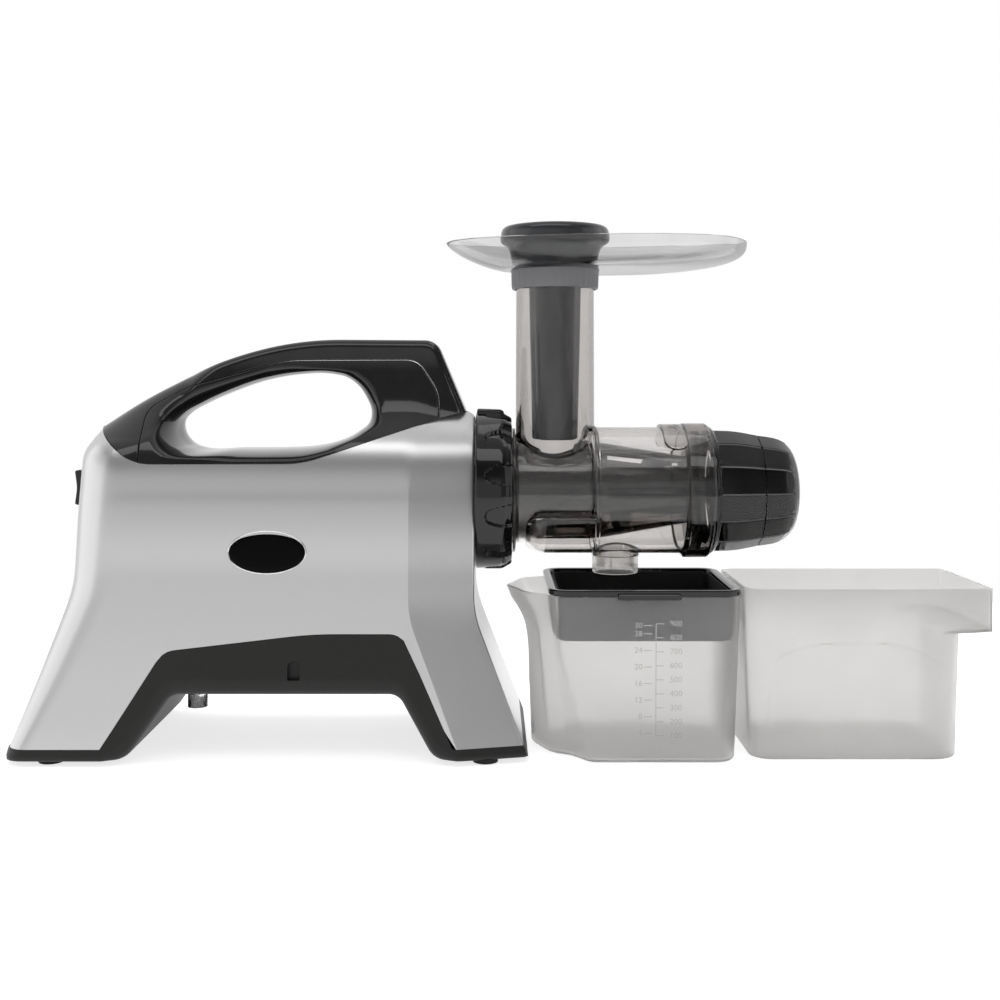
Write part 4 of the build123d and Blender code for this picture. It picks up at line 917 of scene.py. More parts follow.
class JUICER_OT_handle(Build, bpy.types.Operator):
    """Handle frame round the finger hole, and its top cover behind a fine seam"""

    bl_idname = "juicer.handle"
    bl_label = "Handle"

    def execute(self, context):
        s = sizes()
        black = shared(polished_black_abs, colours().handle_black)
        (hole, seam, outer), upper = handle_lines()
        seam_edge = 0.8 * MM
        frame_grid = section_ring(hole, seam, s.hole_round, seam_edge, s, waist=0.85)
        frame_skin = surface("handle_frame_skin", frame_grid, wrap_rows=True)
        place(frame_skin, "machine", "black_gloss", black, "handle_frame")
        seam, outer = seam[:upper + 1], outer[:upper + 1]
        away = unit(outer - seam + 1e-9)  # they meet at the ends
        cover_grid = section_ring(seam + away * s.seam_gap, outer, seam_edge, FINE_EDGE, s)[:, 1:-1]
        cover = closed_solid("handle_cover_skin", cover_grid.transpose(1, 0, 2))
        place(cover, "machine", "black_gloss", black, "handle_top_cover")
        return {"FINISHED"}


class JUICER_OT_base(Build, bpy.types.Operator):
    """Dark base that bridges the two feet over the arch"""

    bl_idname = "juicer.base"
    bl_label = "Base"

    def execute(self, context):
        s = sizes()
        tunnel = side_line([(-262, SOLE), (-246.3, SOLE), (-215.5, 47), (-54, 47), (-28.6, SOLE),
                            (-12, SOLE)], [0, 13, 12, 12, 13, 0])

        def feet_and(line, height, stations):
            """A line over the arch with level runs for the rear and front foot, from the four stations."""
            rear, rear_end, front_start, front = (spot(station, height) for station in stations)
            return np.vstack([resampled(np.array([rear, rear_end]), 24)[:-1], resampled(line, 150),
                              resampled(np.array([front_start, front]), 20)[1:]])

        grid = section_ring(feet_and(tunnel, SOLE, (-332.5, -262, -12, 38.5)),
                            feet_and(ARCH, PLATE_TOP, (-329.9, -262, -15, 34.9)),
                            s.base_round, FINE_EDGE, s)
        base = closed_solid("base", grid.transpose(1, 0, 2))
        arch = line_of(rounded(mm((-131.7, 58.8), (-122.9, 58.8), (-122.9, 72.4), (-131.7, 72.4)),
                               mm(1, 1, 4.3, 4.3), 8))
        recess = closed_solid("recess", np.array([
            np.insert(arch + (FRONT_X, 0), 1, y, axis=1) for y in mm(-90, -69.5)]))
        base = combined(base, [recess], "DIFFERENCE", 32)
        base.name = "base_skin"
        dark = eroded_abs(colours().base_grey, "eroded_abs_base", 0.5, specular=0.3)
        place(base, "machine", "base_plastic", dark, "base_cover")
        return {"FINISHED"}


class JUICER_OT_badge(Build, bpy.types.Operator):
    """Bare oval badge: a domed gloss black plate in a thin bright rim"""

    bl_idname = "juicer.badge"
    bl_label = "Badge"

    def execute(self, context):
        lo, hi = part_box("badge_rim")
        middle = (lo + hi) / 2
        lean = atan2(4.5, 57.5)  # of the housing's wall behind it
        half_x, half_z = (hi.x - lo.x) / 2, (hi.z - lo.z) / 2 / cos(lean)
        black = eroded_abs(linear("#030303"), "black_enamel_badge", 0.35, 3000, 0.06)

        def oval(*rings):
            """Rings of (shrink from the outer edge, stand-off): ellipses on the leaning seat."""
            shrink, stand = mm(*rings).T[..., None]
            angle = tau * np.arange(96) / 96
            up = (half_z - shrink) * np.sin(angle)
            back = hi.y - 0.9 * MM
            y = back - stand * cos(lean) + (up + half_z) * sin(lean) - 0.2 * MM
            return np.stack([middle.x + (half_x - shrink) * np.cos(angle), y,
                             middle.z + up * cos(lean) + stand * sin(lean)], axis=-1)

        rim = surface("badge_rim_skin", oval((0, 0), (0, 1.2), (0.25, 1.6), (0.6, 1.75), (0.95, 1.6),
                                             (1.25, 1.2), (1.25, 0)), wrap_rows=True)
        place(rim, "machine", "badge_silver", polished_nickel(), "badge_rim")
        plate = closed_solid("badge_plate_skin", oval((1.25, 0), (1.25, 1.2), (1.6, 1.4), (5, 1.7),
                                                      (10, 1.85), (14, 1.9)))
        place(plate, "machine", "badge_black", black, "badge_plate")
        return {"FINISHED"}


class JUICER_OT_clip(Build, bpy.types.Operator):
    """Turning clip: a ring with finger recesses that open towards the drum, and a tab on top"""

    bl_idname = "juicer.clip"
    bl_label = "Locking clip"

    def execute(self, context):
        count = sizes().scallops
        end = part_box("locking_clip")[1].x - FRONT_X
        first = radians(15)  # angle of the first recess
        stations = [np.linspace(0.6, 2.2, 5), np.linspace(3.2, 26.2, 30), np.linspace(26.6, 27.7, 5)]
        x = np.concatenate(stations)[:, None] * MM
        angle = tau * np.arange(count * 40) / (count * 40)

        def quarter(share):
            """Fall of a quarter circle of radius 1 at a share of its run."""
            return 1 - np.sqrt(np.clip(1 - np.clip(share, 0, 1) ** 2, 0, 1))

        outer = 59.5 * MM - 3.6 * MM * step(end - 10 * MM, end, x) ** 1.5
        outer = outer - 1.5 * MM * quarter(1 - np.clip(x / (2 * MM) - 0.3, 0, 1))
        outer = outer - 1.8 * MM * quarter((x - end) / (1.8 * MM) + 1)
        turn = (angle[None] - first + pi / count) % (tau / count) - pi / count
        along = np.clip((end - x) / (20 * MM), 0, None)
        across = turn * 58 * MM / ((9.0 - 3.4 * along) * MM)
        inside = 1 - np.abs(across) ** 3 - along**5  # of a recess: its outline is the zero line
        outer = outer - 2.8 * MM * step(0.0, 0.16, inside)
        skin = bent(x, outer, angle)
        bore = about_x(mm((27.7, 50.5), (27.2, 42.2), (26.8, 41.2), (23.2, 41.2), (23.2, 50.3),
                          (0.6, 50.3)), len(angle))
        ring = surface("clip_ring", np.concatenate([skin, bore]), wrap_rows=True, crease=38)
        tab = []
        for station, top, half in mm((1.4, 60.8, 10), (1.6, 62.0, 11.4), (2.6, 62.8, 12), (19, 62.2, 12),
                                     (21, 61.4, 11.6), (22, 60, 10.6)):
            low, high = 53 * MM, top - 0.5 * MM
            loop = line_of(rounded([(-half, high), (half, high), (half, low), (-half, low)],
                                   mm(2.6, 2.6, 0.5, 0.5), 6))
            tab.append(np.insert(loop + (0, AXIS_Z), 0, FRONT_X + station, axis=1))
        grip = closed_solid("clip_tab", np.array(tab))
        clip = combined(ring, [grip], "UNION", 38)
        clip.name = "locking_clip_skin"
        place(clip, "clip", "black_gloss",
              polished_black_abs(colours().clip_black, "polished_black_abs_clip", 0.05), "locking_clip")
        return {"FINISHED"}


class JUICER_OT_cap(Build, bpy.types.Operator):
    """End cap and dial with long panels parted by thin grooves, each lined with a light grey strip as a
    painted highlight
    """

    bl_idname = "juicer.cap"
    bl_label = "End cap and dial"

    def execute(self, context):
        count = sizes().flutes
        smoke = clear_tinted(colours().cap_smoke, "dark_smoke_polycarbonate", 1500, 0.025)
        # painted highlight: light grey strips in the grooves stand for the bright lines along the groove
        # edges
        line = eroded_abs(colours().groove_grey, "groove_highlight_paint", 0.5, 3000)
        # (station, radius, share of the grooves' depth)
        cap_rows = [(176, 46.2, 0), (176.2, 48.6, 0), (177.2, 48.8, 0), (178.6, 48.2, 0), (179.4, 46.9, 0),
                    (180.4, 46.4, 0), (180.9, 46.6, 1), (184, 46.6, 1), (192, 46.4, 1), (198, 45.8, 1),
                    (203, 45.0, 1), (208, 44.0, 1), (213.0, 42.95, 1), (213.4, 42.7, 0.6), (213.4, 41.5, 0)]
        outside = paneled(cap_rows, count)
        inner = about_x(mm((213.4, 39.9), (206, 40.2), (192, 40.6), (178, 41), (174, 41), (174, 45.0),
                           (176, 45.2)), outside.shape[1], -pi / count)
        cap = surface("end_cap_skin", np.concatenate([outside, inner]), wrap_rows=True, crease=14)
        place(cap, "machine", "smoke_dark", smoke, "end_cap")
        place(groove_lines("end_cap_painted_groove_highlights", cap_rows, count), "machine", "smoke_dark", line)
        dial_rows = [(214.1, 41.3, 0), (214.1, 42.4, 0.6), (214.5, 42.7, 1), (220, 42.0, 1),
                     (225.5, 41.1, 1), (229.5, 39.9, 1), (232.4, 38.6, 1), (234.6, 37.4, 1),
                     (235.1, 36.9, 0.8), (235.4, 36.2, 0), (237.4, 34.6, 0), (239.3, 32.2, 0),
                     (240.9, 29.2, 0), (242.1, 25.6, 0), (242.9, 22.0, 0), (243.3, 18.6, 0),
                     (243.4, 16.6, 0), (243.2, 14.2, 0), (242.6, 12.6, 0), (241.4, 12.1, 0),
                     (210, 12.0, 0), (208, 12.2, 0), (208, 14.8, 0), (237, 15.0, 0), (239.4, 17, 0),
                     (238.2, 24, 0), (234, 31.6, 0), (227, 36.6, 0), (218, 39.2, 0)]
        dial = surface("pressure_dial_skin", paneled(dial_rows, count), wrap_rows=True, crease=14)
        place(dial, "dial", "smoke_dark", smoke, "pressure_dial")
        place(groove_lines("pressure_dial_painted_groove_highlights", dial_rows, count), "dial", "smoke_dark", line)
        return {"FINISHED"}


class JUICER_OT_tray(Build, bpy.types.Operator):
    """Clear oval tray with a swept-up rim, on the ribbed grey collar that grips the chute"""

    bl_idname = "juicer.tray"
    bl_label = "Tray and collar"

    def execute(self, context):
        lo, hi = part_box("hopper_tray")
        outline = tray_outline(144)
        angle = np.arctan2(outline[:, 1], outline[:, 0] - CHUTE_X)
        hole, wall = mm(26.9), mm(2.0)
        ring = np.column_stack([CHUTE_X + hole * np.cos(angle), hole * np.sin(angle)])
        middle = 92.6  # station of the tray's middle, which its floor's middle lies 22 mm behind
        power = 2.9 - 1.5 * (0.5 - 0.5 * np.cos(angle))

        def bowl(share, inset, floor, top):
            """Outline shrunk towards the collar: it climbs as a superellipse, steeper at the motor end."""
            x = outline[:, 0] - (FRONT_X + middle * MM)
            x = FRONT_X + (middle - 22 * (1 - share)) * MM + x * (0.42 + 0.58 * share)
            y = outline[:, 1] * (0.56 + 0.44 * share)
            x, y = (np.column_stack([x, y]) - unit(np.column_stack([x - CHUTE_X, y])) * inset).T
            rise = 1 - (1 - share**power) ** (1 / power) if share < 1 else np.ones(len(angle))
            return np.column_stack([x, y, floor + (top - floor) * rise])

        shares = np.sin(np.linspace(0, pi / 2, 22))
        edge = hi.z - 0.5 * MM
        under = [np.insert(ring, 2, lo.z, axis=1)] + [bowl(share, 0, lo.z, edge) for share in shares]
        over = [bowl(share, wall, lo.z + wall, edge) for share in shares[::-1]]
        over[0][:, 2] = hi.z - 0.4 * MM
        lip = bowl(1.0, wall * 0.45, lo.z, hi.z)
        over += [np.insert(ring, 2, lo.z + wall, axis=1)]
        tray = surface("hopper_tray_skin", np.array(under + [lip] + over), wrap_rows=True, crease=50)
        clear = clear_tinted(colours().clear, "clear_copolyester_tray", 210)
        place(tray, "tray", "smoke_clear", clear, "hopper_tray")

        count, ribs, depth = 144, 36, 0.6 * MM
        rows = [(33.8, 355), (33.8, 354.2), (33.4, 353.6), (33.2, 344), (33.0, 342), (32.6, 340.9),
                (31.8, 340.5), (30.4, 340.5), (30.4, 355)]
        ribbed = np.isin(np.arange(len(rows)), (3, 4))[:, None]
        angle = tau * np.arange(count) / count
        grid = about_z(mm(*rows), count=count)
        shift = (depth * np.cos(ribs * angle) - depth) * ribbed
        grid[..., 0] += shift * np.cos(angle)
        grid[..., 1] += shift * np.sin(angle)
        grey = frosted_polypropylene(colours().collar_grey, "grey_collar", 0.25)
        collar = surface("tray_collar_skin", grid, wrap_rows=True)
        place(collar, "tray", "collar_grey", grey, "tray_collar")
        return {"FINISHED"}


class JUICER_OT_pusher(Build, bpy.types.Operator):
    """Pusher: a wide cap with a waisted neck over a long hollow rod"""

    bl_idname = "juicer.pusher"
    bl_label = "Pusher"

    def execute(self, context):
        gloss = polished_black_abs(colours().pusher_grey, "polished_grey_abs_pusher", 0.14)
        cap = [(0.3, 386.9), (14, 387.3), (28, 388), (36, 388.2), (38.6, 387.8), (40.3, 386.4), (41.2, 384),
               (41.4, 380.5), (41.3, 377.5), (40.6, 375.6), (39.2, 374.2), (37.0, 372.8), (35.2, 370.6),
               (34.0, 367.6), (33.2, 363.8), (32.6, 360.2), (32.4, 358.2), (31.8, 357.6), (29.8, 357.6),
               (29.4, 365.4), (0.3, 365.4)]
        cap = closed_solid("pusher_cap_skin", about_z(mm(*cap)))
        place(cap, "pusher", "pusher_dark", gloss, "pusher_cap")
        rod = [(0.3, 226), (16, 226), (17.2, 226.3), (17.8, 227.2), (19.2, 300), (20.1, 360), (20.1, 365.3),
               (16, 365.3), (15.4, 228.8), (0.3, 228.6)]
        count, lobes, depth = 144, 6, 1.3
        grid = about_z(mm(*rod), count=count)
        hollow = (0.5 - 0.5 * np.cos(lobes * tau * np.arange(count) / count))[None, :, None] ** 2
        fluted = np.isin(np.arange(len(rod)), (2, 3, 4, 5))[:, None, None]
        outward = unit(np.stack([grid[..., 0] - CHUTE_X, grid[..., 1], 0 * grid[..., 2]], axis=-1))
        grid = grid - outward * fluted * hollow * depth * MM
        rod = closed_solid("pusher_rod_skin", grid)
        place(rod, "pusher", "pusher_dark", gloss, "pusher_rod")
        return {"FINISHED"}


class JUICER_OT_jug(Build, bpy.types.Operator):
    """Frosted jug with a broad pouring nose and a printed scale, and its strainer with a glossy rim"""

    bl_idname = "juicer.jug"
    bl_label = "Juice jug and strainer"

    def execute(self, context):
        c = colours()
        frost = shared(frosted_polypropylene, c.frost)
        foot = 4.0  # radius of the round at the foot
        heights = np.concatenate([foot * (1 - np.cos(np.linspace(0, pi / 2, 7))), np.linspace(8, 80, 8),
                                  np.linspace(84, 116.5, 14), [117.6]])
        rows = [jug_outline(z, round_over(z, foot)) for z in heights]
        jug = walled(surface("jug", stacked(rows, heights * MM), cap_start=True), 2 * MM)
        finished(jug, 50).name = "juice_jug_skin"
        place(jug, "jug", "frosted_clear", frost, "juice_jug")
        ink = eroded_abs(c.print_grey, "screen_print_ink", 0.5, 3000)
        place(jug_scale(), "jug", "strainer_grey", ink)

        lo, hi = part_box("strainer_rim")
        near = lo.y + 3 * MM  # the rim's near edge, which the tab passes
        profile = mm((0, 0.4), (0, 3.2), (0.5, 3.8), (1.3, 4.0), (3.6, 4.0), (5.0, 3.7), (5.6, 3.0),
                     (6.2, 1.0), (6.4, -1.2), (3.2, -1.2), (3.1, 0), (0.3, 0))
        rim = surface("rim", ringed(profile, lo.z, lo.x, hi.x, near, hi.y, 14 * MM), wrap_rows=True)
        profile = mm((0.8, -2.2), (0.3, -1.8), (0.0, 1.0), (0.5, 1.8), (1.4, 2.0))
        tab = closed_solid("tab", ringed(profile, lo.z, FRONT_X + 101 * MM, FRONT_X + 146 * MM, lo.y,
                                         near + 5 * MM, 2 * MM))
        rim = combined(rim, [tab], "UNION")
        rim.name = "strainer_rim_skin"
        black = polished_black_abs(c.clip_black, "polished_black_abs_strainer", 0.08)
        place(rim, "jug", "strainer_black", black, "strainer_rim")

        lo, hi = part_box("strainer_basket")
        plan = lo.z, lo.x, hi.x, lo.y, hi.y, 10 * MM
        profile = mm((3.5, 0.8), (1.2, 0.2), (0, 1.6), (0, 33), (1.2, 33), (1.2, 2.4), (3.5, 1.8))
        basket = closed_solid("strainer_basket_skin", ringed(profile, *plan))
        grey = eroded_abs(c.strainer_grey, "eroded_polypropylene_strainer", 0.45)
        place(basket, "jug", "strainer_grey", grey, "strainer_basket")
        profile = mm((9, 1.9), (2.2, 1.9), (1.25, 2.6), (1.25, 34.6), (1.7, 34.6), (1.7, 3.0), (2.2, 2.45),
                     (9, 2.45))
        liner = closed_solid("strainer_liner", ringed(profile, *plan))
        dark = eroded_abs(c.liner_black, "eroded_black_liner", 0.6)
        place(liner, "jug", "strainer_black", dark)
        return {"FINISHED"}


class JUICER_OT_bin(Build, bpy.types.Operator):
    """Frosted pulp bin: a step widens its top to the right, and its long walls have an arched panel"""

    bl_idname = "juicer.bin"
    bl_label = "Pulp bin"

    def execute(self, context):
        frost = shared(frosted_polypropylene, colours().frost)
        foot, step_low, rim = 2.0, 90.0, 122.0  # round at the foot, height of the step and of the rim
        nearer = 13.0  # than the drum's axis
        heights = np.concatenate([foot * (1 - np.cos(np.linspace(0, pi / 2, 6))), np.linspace(4, 86, 62),
                                  step_low + 2 * np.sin(np.linspace(-0.5, pi / 2, 6)),
                                  np.linspace(95, 121, 8), [rim]])
        rows = []
        for z in heights:
            share = z / rim
            inset = round_over(z, foot)
            wide = float(step(step_low - 0.4, step_low + 1.4, z))
            left, right, half = 198 - 5 * share + inset, 348.0 + 2.5 * share, 51.4 + 0.6 * share - inset
            right = right + (370.5 - right) * wide - inset
            radius = (18 - 4 * share) * (1 - wide) + 3.5 * wide
            loop = ring_between([(left, -half), (right, -half), (right, half), (left, half)],
                                [14, radius, radius, 14], side=70)
            rows.append(np.column_stack([FRONT_X + loop[:, 0] * MM, (loop[:, 1] - nearer) * MM]))
        grid = stacked(rows, heights * MM)
        x, y, z = grid[..., 0] - FRONT_X, grid[..., 1], grid[..., 2]
        middle, reach, depth = mm(272), mm(61), mm(1.5)  # of the arched panel in the near and the far wall
        arch = 84 * MM - 22 * MM * np.clip(np.abs(x - middle) / (68 * MM), 0, 1) ** 3.2
        panel = step(0.0, depth, arch - z) * step(0, 3 * MM, reach - np.abs(x - middle)) \
            * step(18 * MM, 30 * MM, z)
        inwards = (y < -55 * MM) * 1.0 - (y > 29 * MM)
        grid[..., 1] += depth * panel * inwards
        pulp_bin = walled(surface("bin", grid, cap_start=True), 2 * MM)
        finished(pulp_bin, 40).name = "pulp_bin_skin"
        place(pulp_bin, "bin", "frosted_clear", frost, "pulp_bin")
        return {"FINISHED"}


class JUICER_OT_drum(Build, bpy.types.Operator):
    """Clear smoke drum: feed part with its chute, wide screen chamber, juice channel and spout boss"""

    bl_idname = "juicer.drum"
    bl_label = "Drum and spout"

    def execute(self, context):
        c = colours()
        feed, chamber, inside = 39.8, 48.0, 45.6  # outer radii, and the chamber's inner one
        corners = [(8, 43.0), (13, 43.0), (14, feed), (28.4, feed), (28.4, 47.3), (30.4, 47.3),
                   (30.4, feed), (88.2, feed), (88.6, 49.1), (91.6, 49.1), (92.4, chamber),
                   (155.4, chamber), (157.6, 51), (174.4, 51), (176, 50.2)]
        turns = [0, 0.3, 0.3, 0.8, 0.6, 0.6, 2.5, 3, 1.0, 1.0, 0.6, 1.5, 1.4, 1.2, 0]
        drum = closed_solid("drum", about_x(profile_of(corners, turns)))
        hollow = closed_solid("hollow", about_x(profile_of(
            [(11, 37.6), (86, 37.6), (90.2, inside), (179, inside)], [0, 4, 3, 0])))
        channel = closed_solid("channel", channel_grid(*mm(37.5, 89.5, chamber, 171.0, 14.0)))
        channel_hollow = closed_solid("channel_hollow", channel_grid(*mm(39.7, 91.0, inside, 168.8, 11.8)))
        spout_x = FRONT_X + 107 * MM
        boss, nipple, outlet = (closed_solid(name, about_z(mm(*profile), spout_x)) for name, profile in (
            ("boss", [(17.4, 138.2), (17.8, 138.0), (18.2, 138.6), (18.2, 170)]),
            ("nipple", [(14.2, 130), (14.5, 130.3), (14.5, 145)]),
            ("outlet", [(12.3, 120), (12.3, 165)])))
        chute = closed_solid("chute", chute_grid(mm(feed)))
        bore = closed_solid("bore", about_z(mm((26.4, 192), (26.4, 352.6), (27.2, 356))))
        patch = closed_solid("patch", drum_patch())
        lugs = [closed_solid("lug", turned_bar(*mm(15.5, 19.5, 7, 38.5, 46.8), k * pi / 2))
                for k in range(4)]
        drum = combined(drum, [channel, boss, nipple, chute, patch, *lugs], "UNION")
        drum = combined(drum, [hollow, channel_hollow, outlet, bore], "DIFFERENCE", 28)
        drum.name = "drum_skin"
        smoke = clear_tinted(c.smoke, "clear_smoke_copolyester", 130)
        place(drum, "machine", "smoke_clear", smoke, "drum")

        frost = frosted_polypropylene(c.spout, "clear_polypropylene_spout", 0.9)
        spout = surface("juice_spout_skin", about_z(mm(
            (14.8, 125), (17.0, 125), (17.4, 125.4), (17.4, 137.6), (17.0, 138), (14.8, 138)), spout_x),
            wrap_rows=True)
        place(spout, "machine", "frosted_clear", frost, "juice_spout")
        stub = clear_tinted(c.clear, "clear_copolyester_stub", 25)
        place(dressed("drain_stub"), "machine", "frosted_clear", stub, "drain_stub")
        return {"FINISHED"}


class JUICER_OT_auger(Build, bpy.types.Operator):
    """Conical juicing screen with its perforated patches, and the auger that turns in it"""

    bl_idname = "juicer.auger"
    bl_label = "Screen and auger"

    def execute(self, context):
        c = colours()
        amber = clear_tinted(c.screen_grey, "smoked_polyetherimide_screen", 1900, 0.08)
        place(dressed("juicing_screen"), "machine", "screen_grey", amber, "juicing_screen")
        place(dressed("auger", 25), "auger_drive", "auger_dark",
              polished_black_abs(c.auger_black, "polished_black_auger", 0.08), "auger")
        steel = milled_metal(linear("#c8c8c8"), "perforated_steel_sheet", 0.3)
        for side, where in ((-1, "near"), (1, "far")):
            for k, (first, last, low, high) in enumerate(((65, 78, 109, 119), (60, 82, 128, 134)), 1):
                sheet = perforated(f"screen_mesh_{where}_{k}", mm(first), mm(last), radians(low) * side,
                                   radians(high) * side, mm(36.0))
                place(sheet, "machine", "screen_grey", steel)
        return {"FINISHED"}


class JUICER_OT_inner(Build, bpy.types.Operator):
    """Finishes of the solids that are shown as they are: feet, socket, motor, gears, shafts and seals"""

    bl_idname = "juicer.inner"
    bl_label = "Inner pieces"

    def execute(self, context):
        c = colours()
        black = shared(polished_black_abs, c.handle_black)
        finishes = {
            black: ("drum_socket",),
            eroded_abs(linear("#1d1d1d"), "moulded_rubber", 0.8, 900): ("foot_pads", "cord_gland"),
            eroded_abs(linear("#2c2c2c"), "glass_filled_nylon_bracket", 0.6): (
                "motor_cradle", "capacitor_clamp"),
            milled_metal(linear("#b9bcc0"), "turned_steel", 0.25): (
                "switch_pin", "output_shaft", "idler_pins", "motor_pinion", "motor_shaft",
                "auger_drive_hex"),
            milled_metal(linear("#8d8f92"), "laminated_steel", 0.4): ("motor_stator", "rotor_core"),
            milled_metal(linear("#c98a5b"), "enamelled_copper", 0.3): ("motor_windings",),
            milled_metal(linear("#a3a5a8"), "die_cast_alloy", 0.5): (
                "gearcase", "gearcase_cover", "motor_front_bell", "motor_rear_bell", "motor_adapter"),
            milled_metal(linear("#b08d57"), "sintered_bronze", 0.4): ("output_bush", "motor_bearings"),
            eroded_abs(linear("#dcd8c8"), "moulded_nylon_gears", 0.4): (
                "output_gear", "second_idler_gear", "first_idler_gear", "cooling_fan"),
            eroded_abs(linear("#a9a9a6"), "moulded_silicone", 0.7): ("shaft_seal", "drum_seal"),
            eroded_abs(linear("#e4e2da"), "capacitor_sleeve", 0.5): ("run_capacitor",),
        }
        for material, names in finishes.items():
            for name in names:
                painted(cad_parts[name], material)
        return {"FINISHED"}


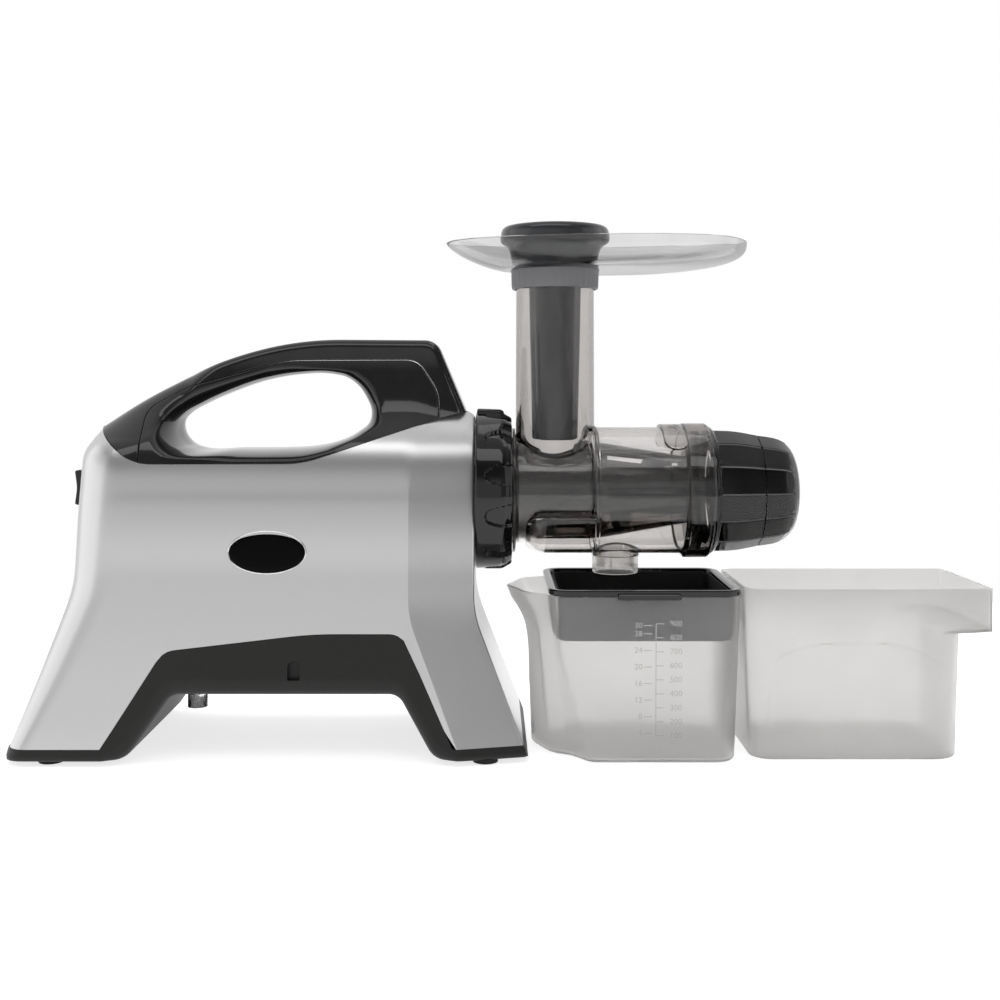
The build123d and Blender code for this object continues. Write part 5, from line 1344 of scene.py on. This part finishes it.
class JUICER_OT_stage(Build, bpy.types.Operator):
    """White floor and backdrop, soft studio lamps and the camera"""

    bl_idname = "juicer.stage"
    bl_label = "Stage"

    def execute(self, context):
        scene = context.scene
        self.make_floor(scene)
        self.make_world(scene)
        self.make_lamps(scene)
        # level, looking along +Y
        camera_data = bpy.data.cameras.new("camera")
        camera_data.lens, camera_data.sensor_width = 44.316, 36.0
        camera_data.shift_x, camera_data.shift_y = 0.010, -0.108
        camera = bpy.data.objects.new("camera", camera_data)
        camera.location = (-0.0077, -0.942, 0.2624)
        camera.rotation_euler = (pi / 2, 0, 0)
        scene.collection.objects.link(camera)
        scene.camera = camera
        scene.view_settings.view_transform = "Standard"
        return {"FINISHED"}

    def make_floor(self, scene):
        """White sheet that ends behind the object, so that no horizon shows. To the eye and in reflections
        it is lifted to white by its own light, over which the object's shadow still falls. Through clear
        pieces it is a little brighter, to make up for the lamps' light that doesn't come through them."""
        mesh = bpy.data.meshes.new("floor")
        low, reach, back = -0.0005, 1.6, 0.6
        corners = [(-reach, -reach, low), (reach, -reach, low), (reach, back, low), (-reach, back, low)]
        mesh.from_pydata(corners, [], [(0, 1, 2, 3)])
        floor = bpy.data.objects.new("floor", mesh)
        scene.collection.objects.link(floor)
        material, tree = blank_material("matt_white_paper")
        rays = node(tree, "LightPath").outputs
        camera_ray, glossy_ray, clear_ray = (
            rays[f"Is {kind} Ray"] for kind in ("Camera", "Glossy", "Transmission"))
        seen = node(tree, "Math", {0: camera_ray, 1: glossy_ray}, operation="MAXIMUM")
        seen = node(tree, "Math", {0: seen.outputs[0], 1: clear_ray}, operation="MAXIMUM")
        glow = node(tree, "Math", {0: seen.outputs[0], 1: 0.74}, operation="MULTIPLY")
        glow = node(tree, "Math", {0: clear_ray, 1: 0.2, 2: glow.outputs[0]}, operation="MULTIPLY_ADD")
        shader = node(tree, "BsdfPrincipled", {
            "Base Color": (0.6, 0.6, 0.6, 1), "Roughness": 0.9, "Specular IOR Level": 0.1,
            "Emission Color": (1, 1, 1, 1), "Emission Strength": glow.outputs[0]})
        node(tree, "OutputMaterial", {"Surface": shader.outputs["BSDF"]})
        painted(floor, material)

    def make_world(self, scene):
        """White to the eye and through clear pieces, and it fills shade softly. Glossy pieces see it white
        behind the object. On the working side they see a low white card that ends to the right, with a dark
        gap over it up to the ceiling."""
        world = bpy.data.worlds.new("studio")
        scene.world = world
        world.use_nodes = True
        tree = world.node_tree
        tree.nodes.clear()
        rays = node(tree, "LightPath").outputs
        camera_ray, glossy_ray, clear_ray = (
            rays[f"Is {kind} Ray"] for kind in ("Camera", "Glossy", "Transmission"))
        seen = node(tree, "Math", {0: camera_ray, 1: clear_ray}, operation="MAXIMUM")
        direction = node(tree, "SeparateXYZ", {0: node(tree, "TexCoord").outputs["Generated"]})
        low, left, ceiling = (
            node(tree, "MapRange", {
                "Value": direction.outputs[axis], "From Min": start, "From Max": end, "To Min": before,
                "To Max": after}, interpolation_type="SMOOTHSTEP").outputs[0]
            for axis, start, end, before, after in (
                ("Z", 0.22, 0.45, 0.66, 0.0),  # the card's upper edge
                ("X", 0.1, 0.42, 1.0, 0.3),  # and its right one
                ("Z", 0.62, 0.92, 0.0, 0.5)))
        card = node(tree, "Math", {0: low, 1: left}, operation="MULTIPLY")
        card = node(tree, "Math", {0: card.outputs[0], 1: 0.14}, operation="ADD")
        card = node(tree, "Math", {0: card.outputs[0], 1: ceiling}, operation="ADD")
        behind = node(tree, "MapRange", {
            "Value": direction.outputs["Y"], "From Min": -0.25, "From Max": 0.25, "To Min": card.outputs[0],
            "To Max": 0.9})
        fill, mirrored, white = (
            node(tree, "Background", {"Color": (1, 1, 1, 1), "Strength": strength}).outputs[0]
            for strength in (0.6, behind.outputs["Result"], 1.0))
        shade = node(tree, "MixShader", {0: glossy_ray, 1: fill, 2: mirrored})
        mix = node(tree, "MixShader", {0: seen.outputs[0], 1: shade.outputs[0], 2: white})
        node(tree, "OutputWorld", {"Surface": mix.outputs[0]})

    def make_lamps(self, scene):
        """A wide softbox overhead, a weaker one high on the working side and a weak one at each end."""
        for name, place_at, aim, size, power in (
            ("top_softbox", (0.0, 0.15, 1.3), (0, 0.05, 0.1), (2.2, 0.9), 13.0),
            ("front_softbox", (-0.2, -0.85, 1.5), (0, 0, 0.15), (2.0, 0.5), 6.0),
            ("left_softbox", (-1.4, -0.1, 0.5), (0, 0, 0.2), (1.5, 1.0), 3.0),
            ("right_softbox", (1.4, -0.1, 0.5), (0, 0, 0.2), (1.5, 1.0), 3.0),
        ):
            lamp_data = bpy.data.lights.new(name, "AREA")
            lamp_data.shape = "RECTANGLE"
            lamp_data.size, lamp_data.size_y = size
            lamp_data.energy = power
            lamp = bpy.data.objects.new(name, lamp_data)
            lamp.location = place_at
            lamp.rotation_euler = (Vector(aim) - Vector(place_at)).to_track_quat("-Z", "Y").to_euler()
            lamp.visible_glossy = name != "top_softbox"  # the world's ceiling stands for it in reflections
            scene.collection.objects.link(lamp)


STEPS = (
    JUICER_OT_housing, JUICER_OT_switch, JUICER_OT_handle, JUICER_OT_base, JUICER_OT_badge, JUICER_OT_clip,
    JUICER_OT_drum, JUICER_OT_auger, JUICER_OT_cap, JUICER_OT_tray, JUICER_OT_pusher, JUICER_OT_jug,
    JUICER_OT_bin, JUICER_OT_inner, JUICER_OT_stage,
)


class JUICER_PT_panel(bpy.types.Panel):
    bl_label = "Cold press juicer"
    bl_idname = "JUICER_PT_panel"
    bl_space_type = "VIEW_3D"
    bl_region_type = "UI"
    bl_category = "Juicer"

    def draw(self, context):
        for step_class in STEPS:
            self.layout.operator(step_class.bl_idname)
        for group in (context.scene.juicer_sizes, context.scene.juicer_colours):
            for name in group.bl_rna.properties.keys():
                if name not in {"rna_type", "name"}:
                    self.layout.prop(group, name)


CLASSES = (JuicerSizes, JuicerColours, *STEPS, JUICER_PT_panel)


def register():
    for item in CLASSES:
        bpy.utils.register_class(item)
    bpy.types.Scene.juicer_sizes = PointerProperty(type=JuicerSizes)
    bpy.types.Scene.juicer_colours = PointerProperty(type=JuicerColours)


def unregister():
    del bpy.types.Scene.juicer_sizes, bpy.types.Scene.juicer_colours
    for item in reversed(CLASSES):
        bpy.utils.unregister_class(item)


def main():
    register()
    for step_class in STEPS:
        group, name = step_class.bl_idname.split(".")
        getattr(getattr(bpy.ops, group), name)()


if __name__ == "__main__":
    main()
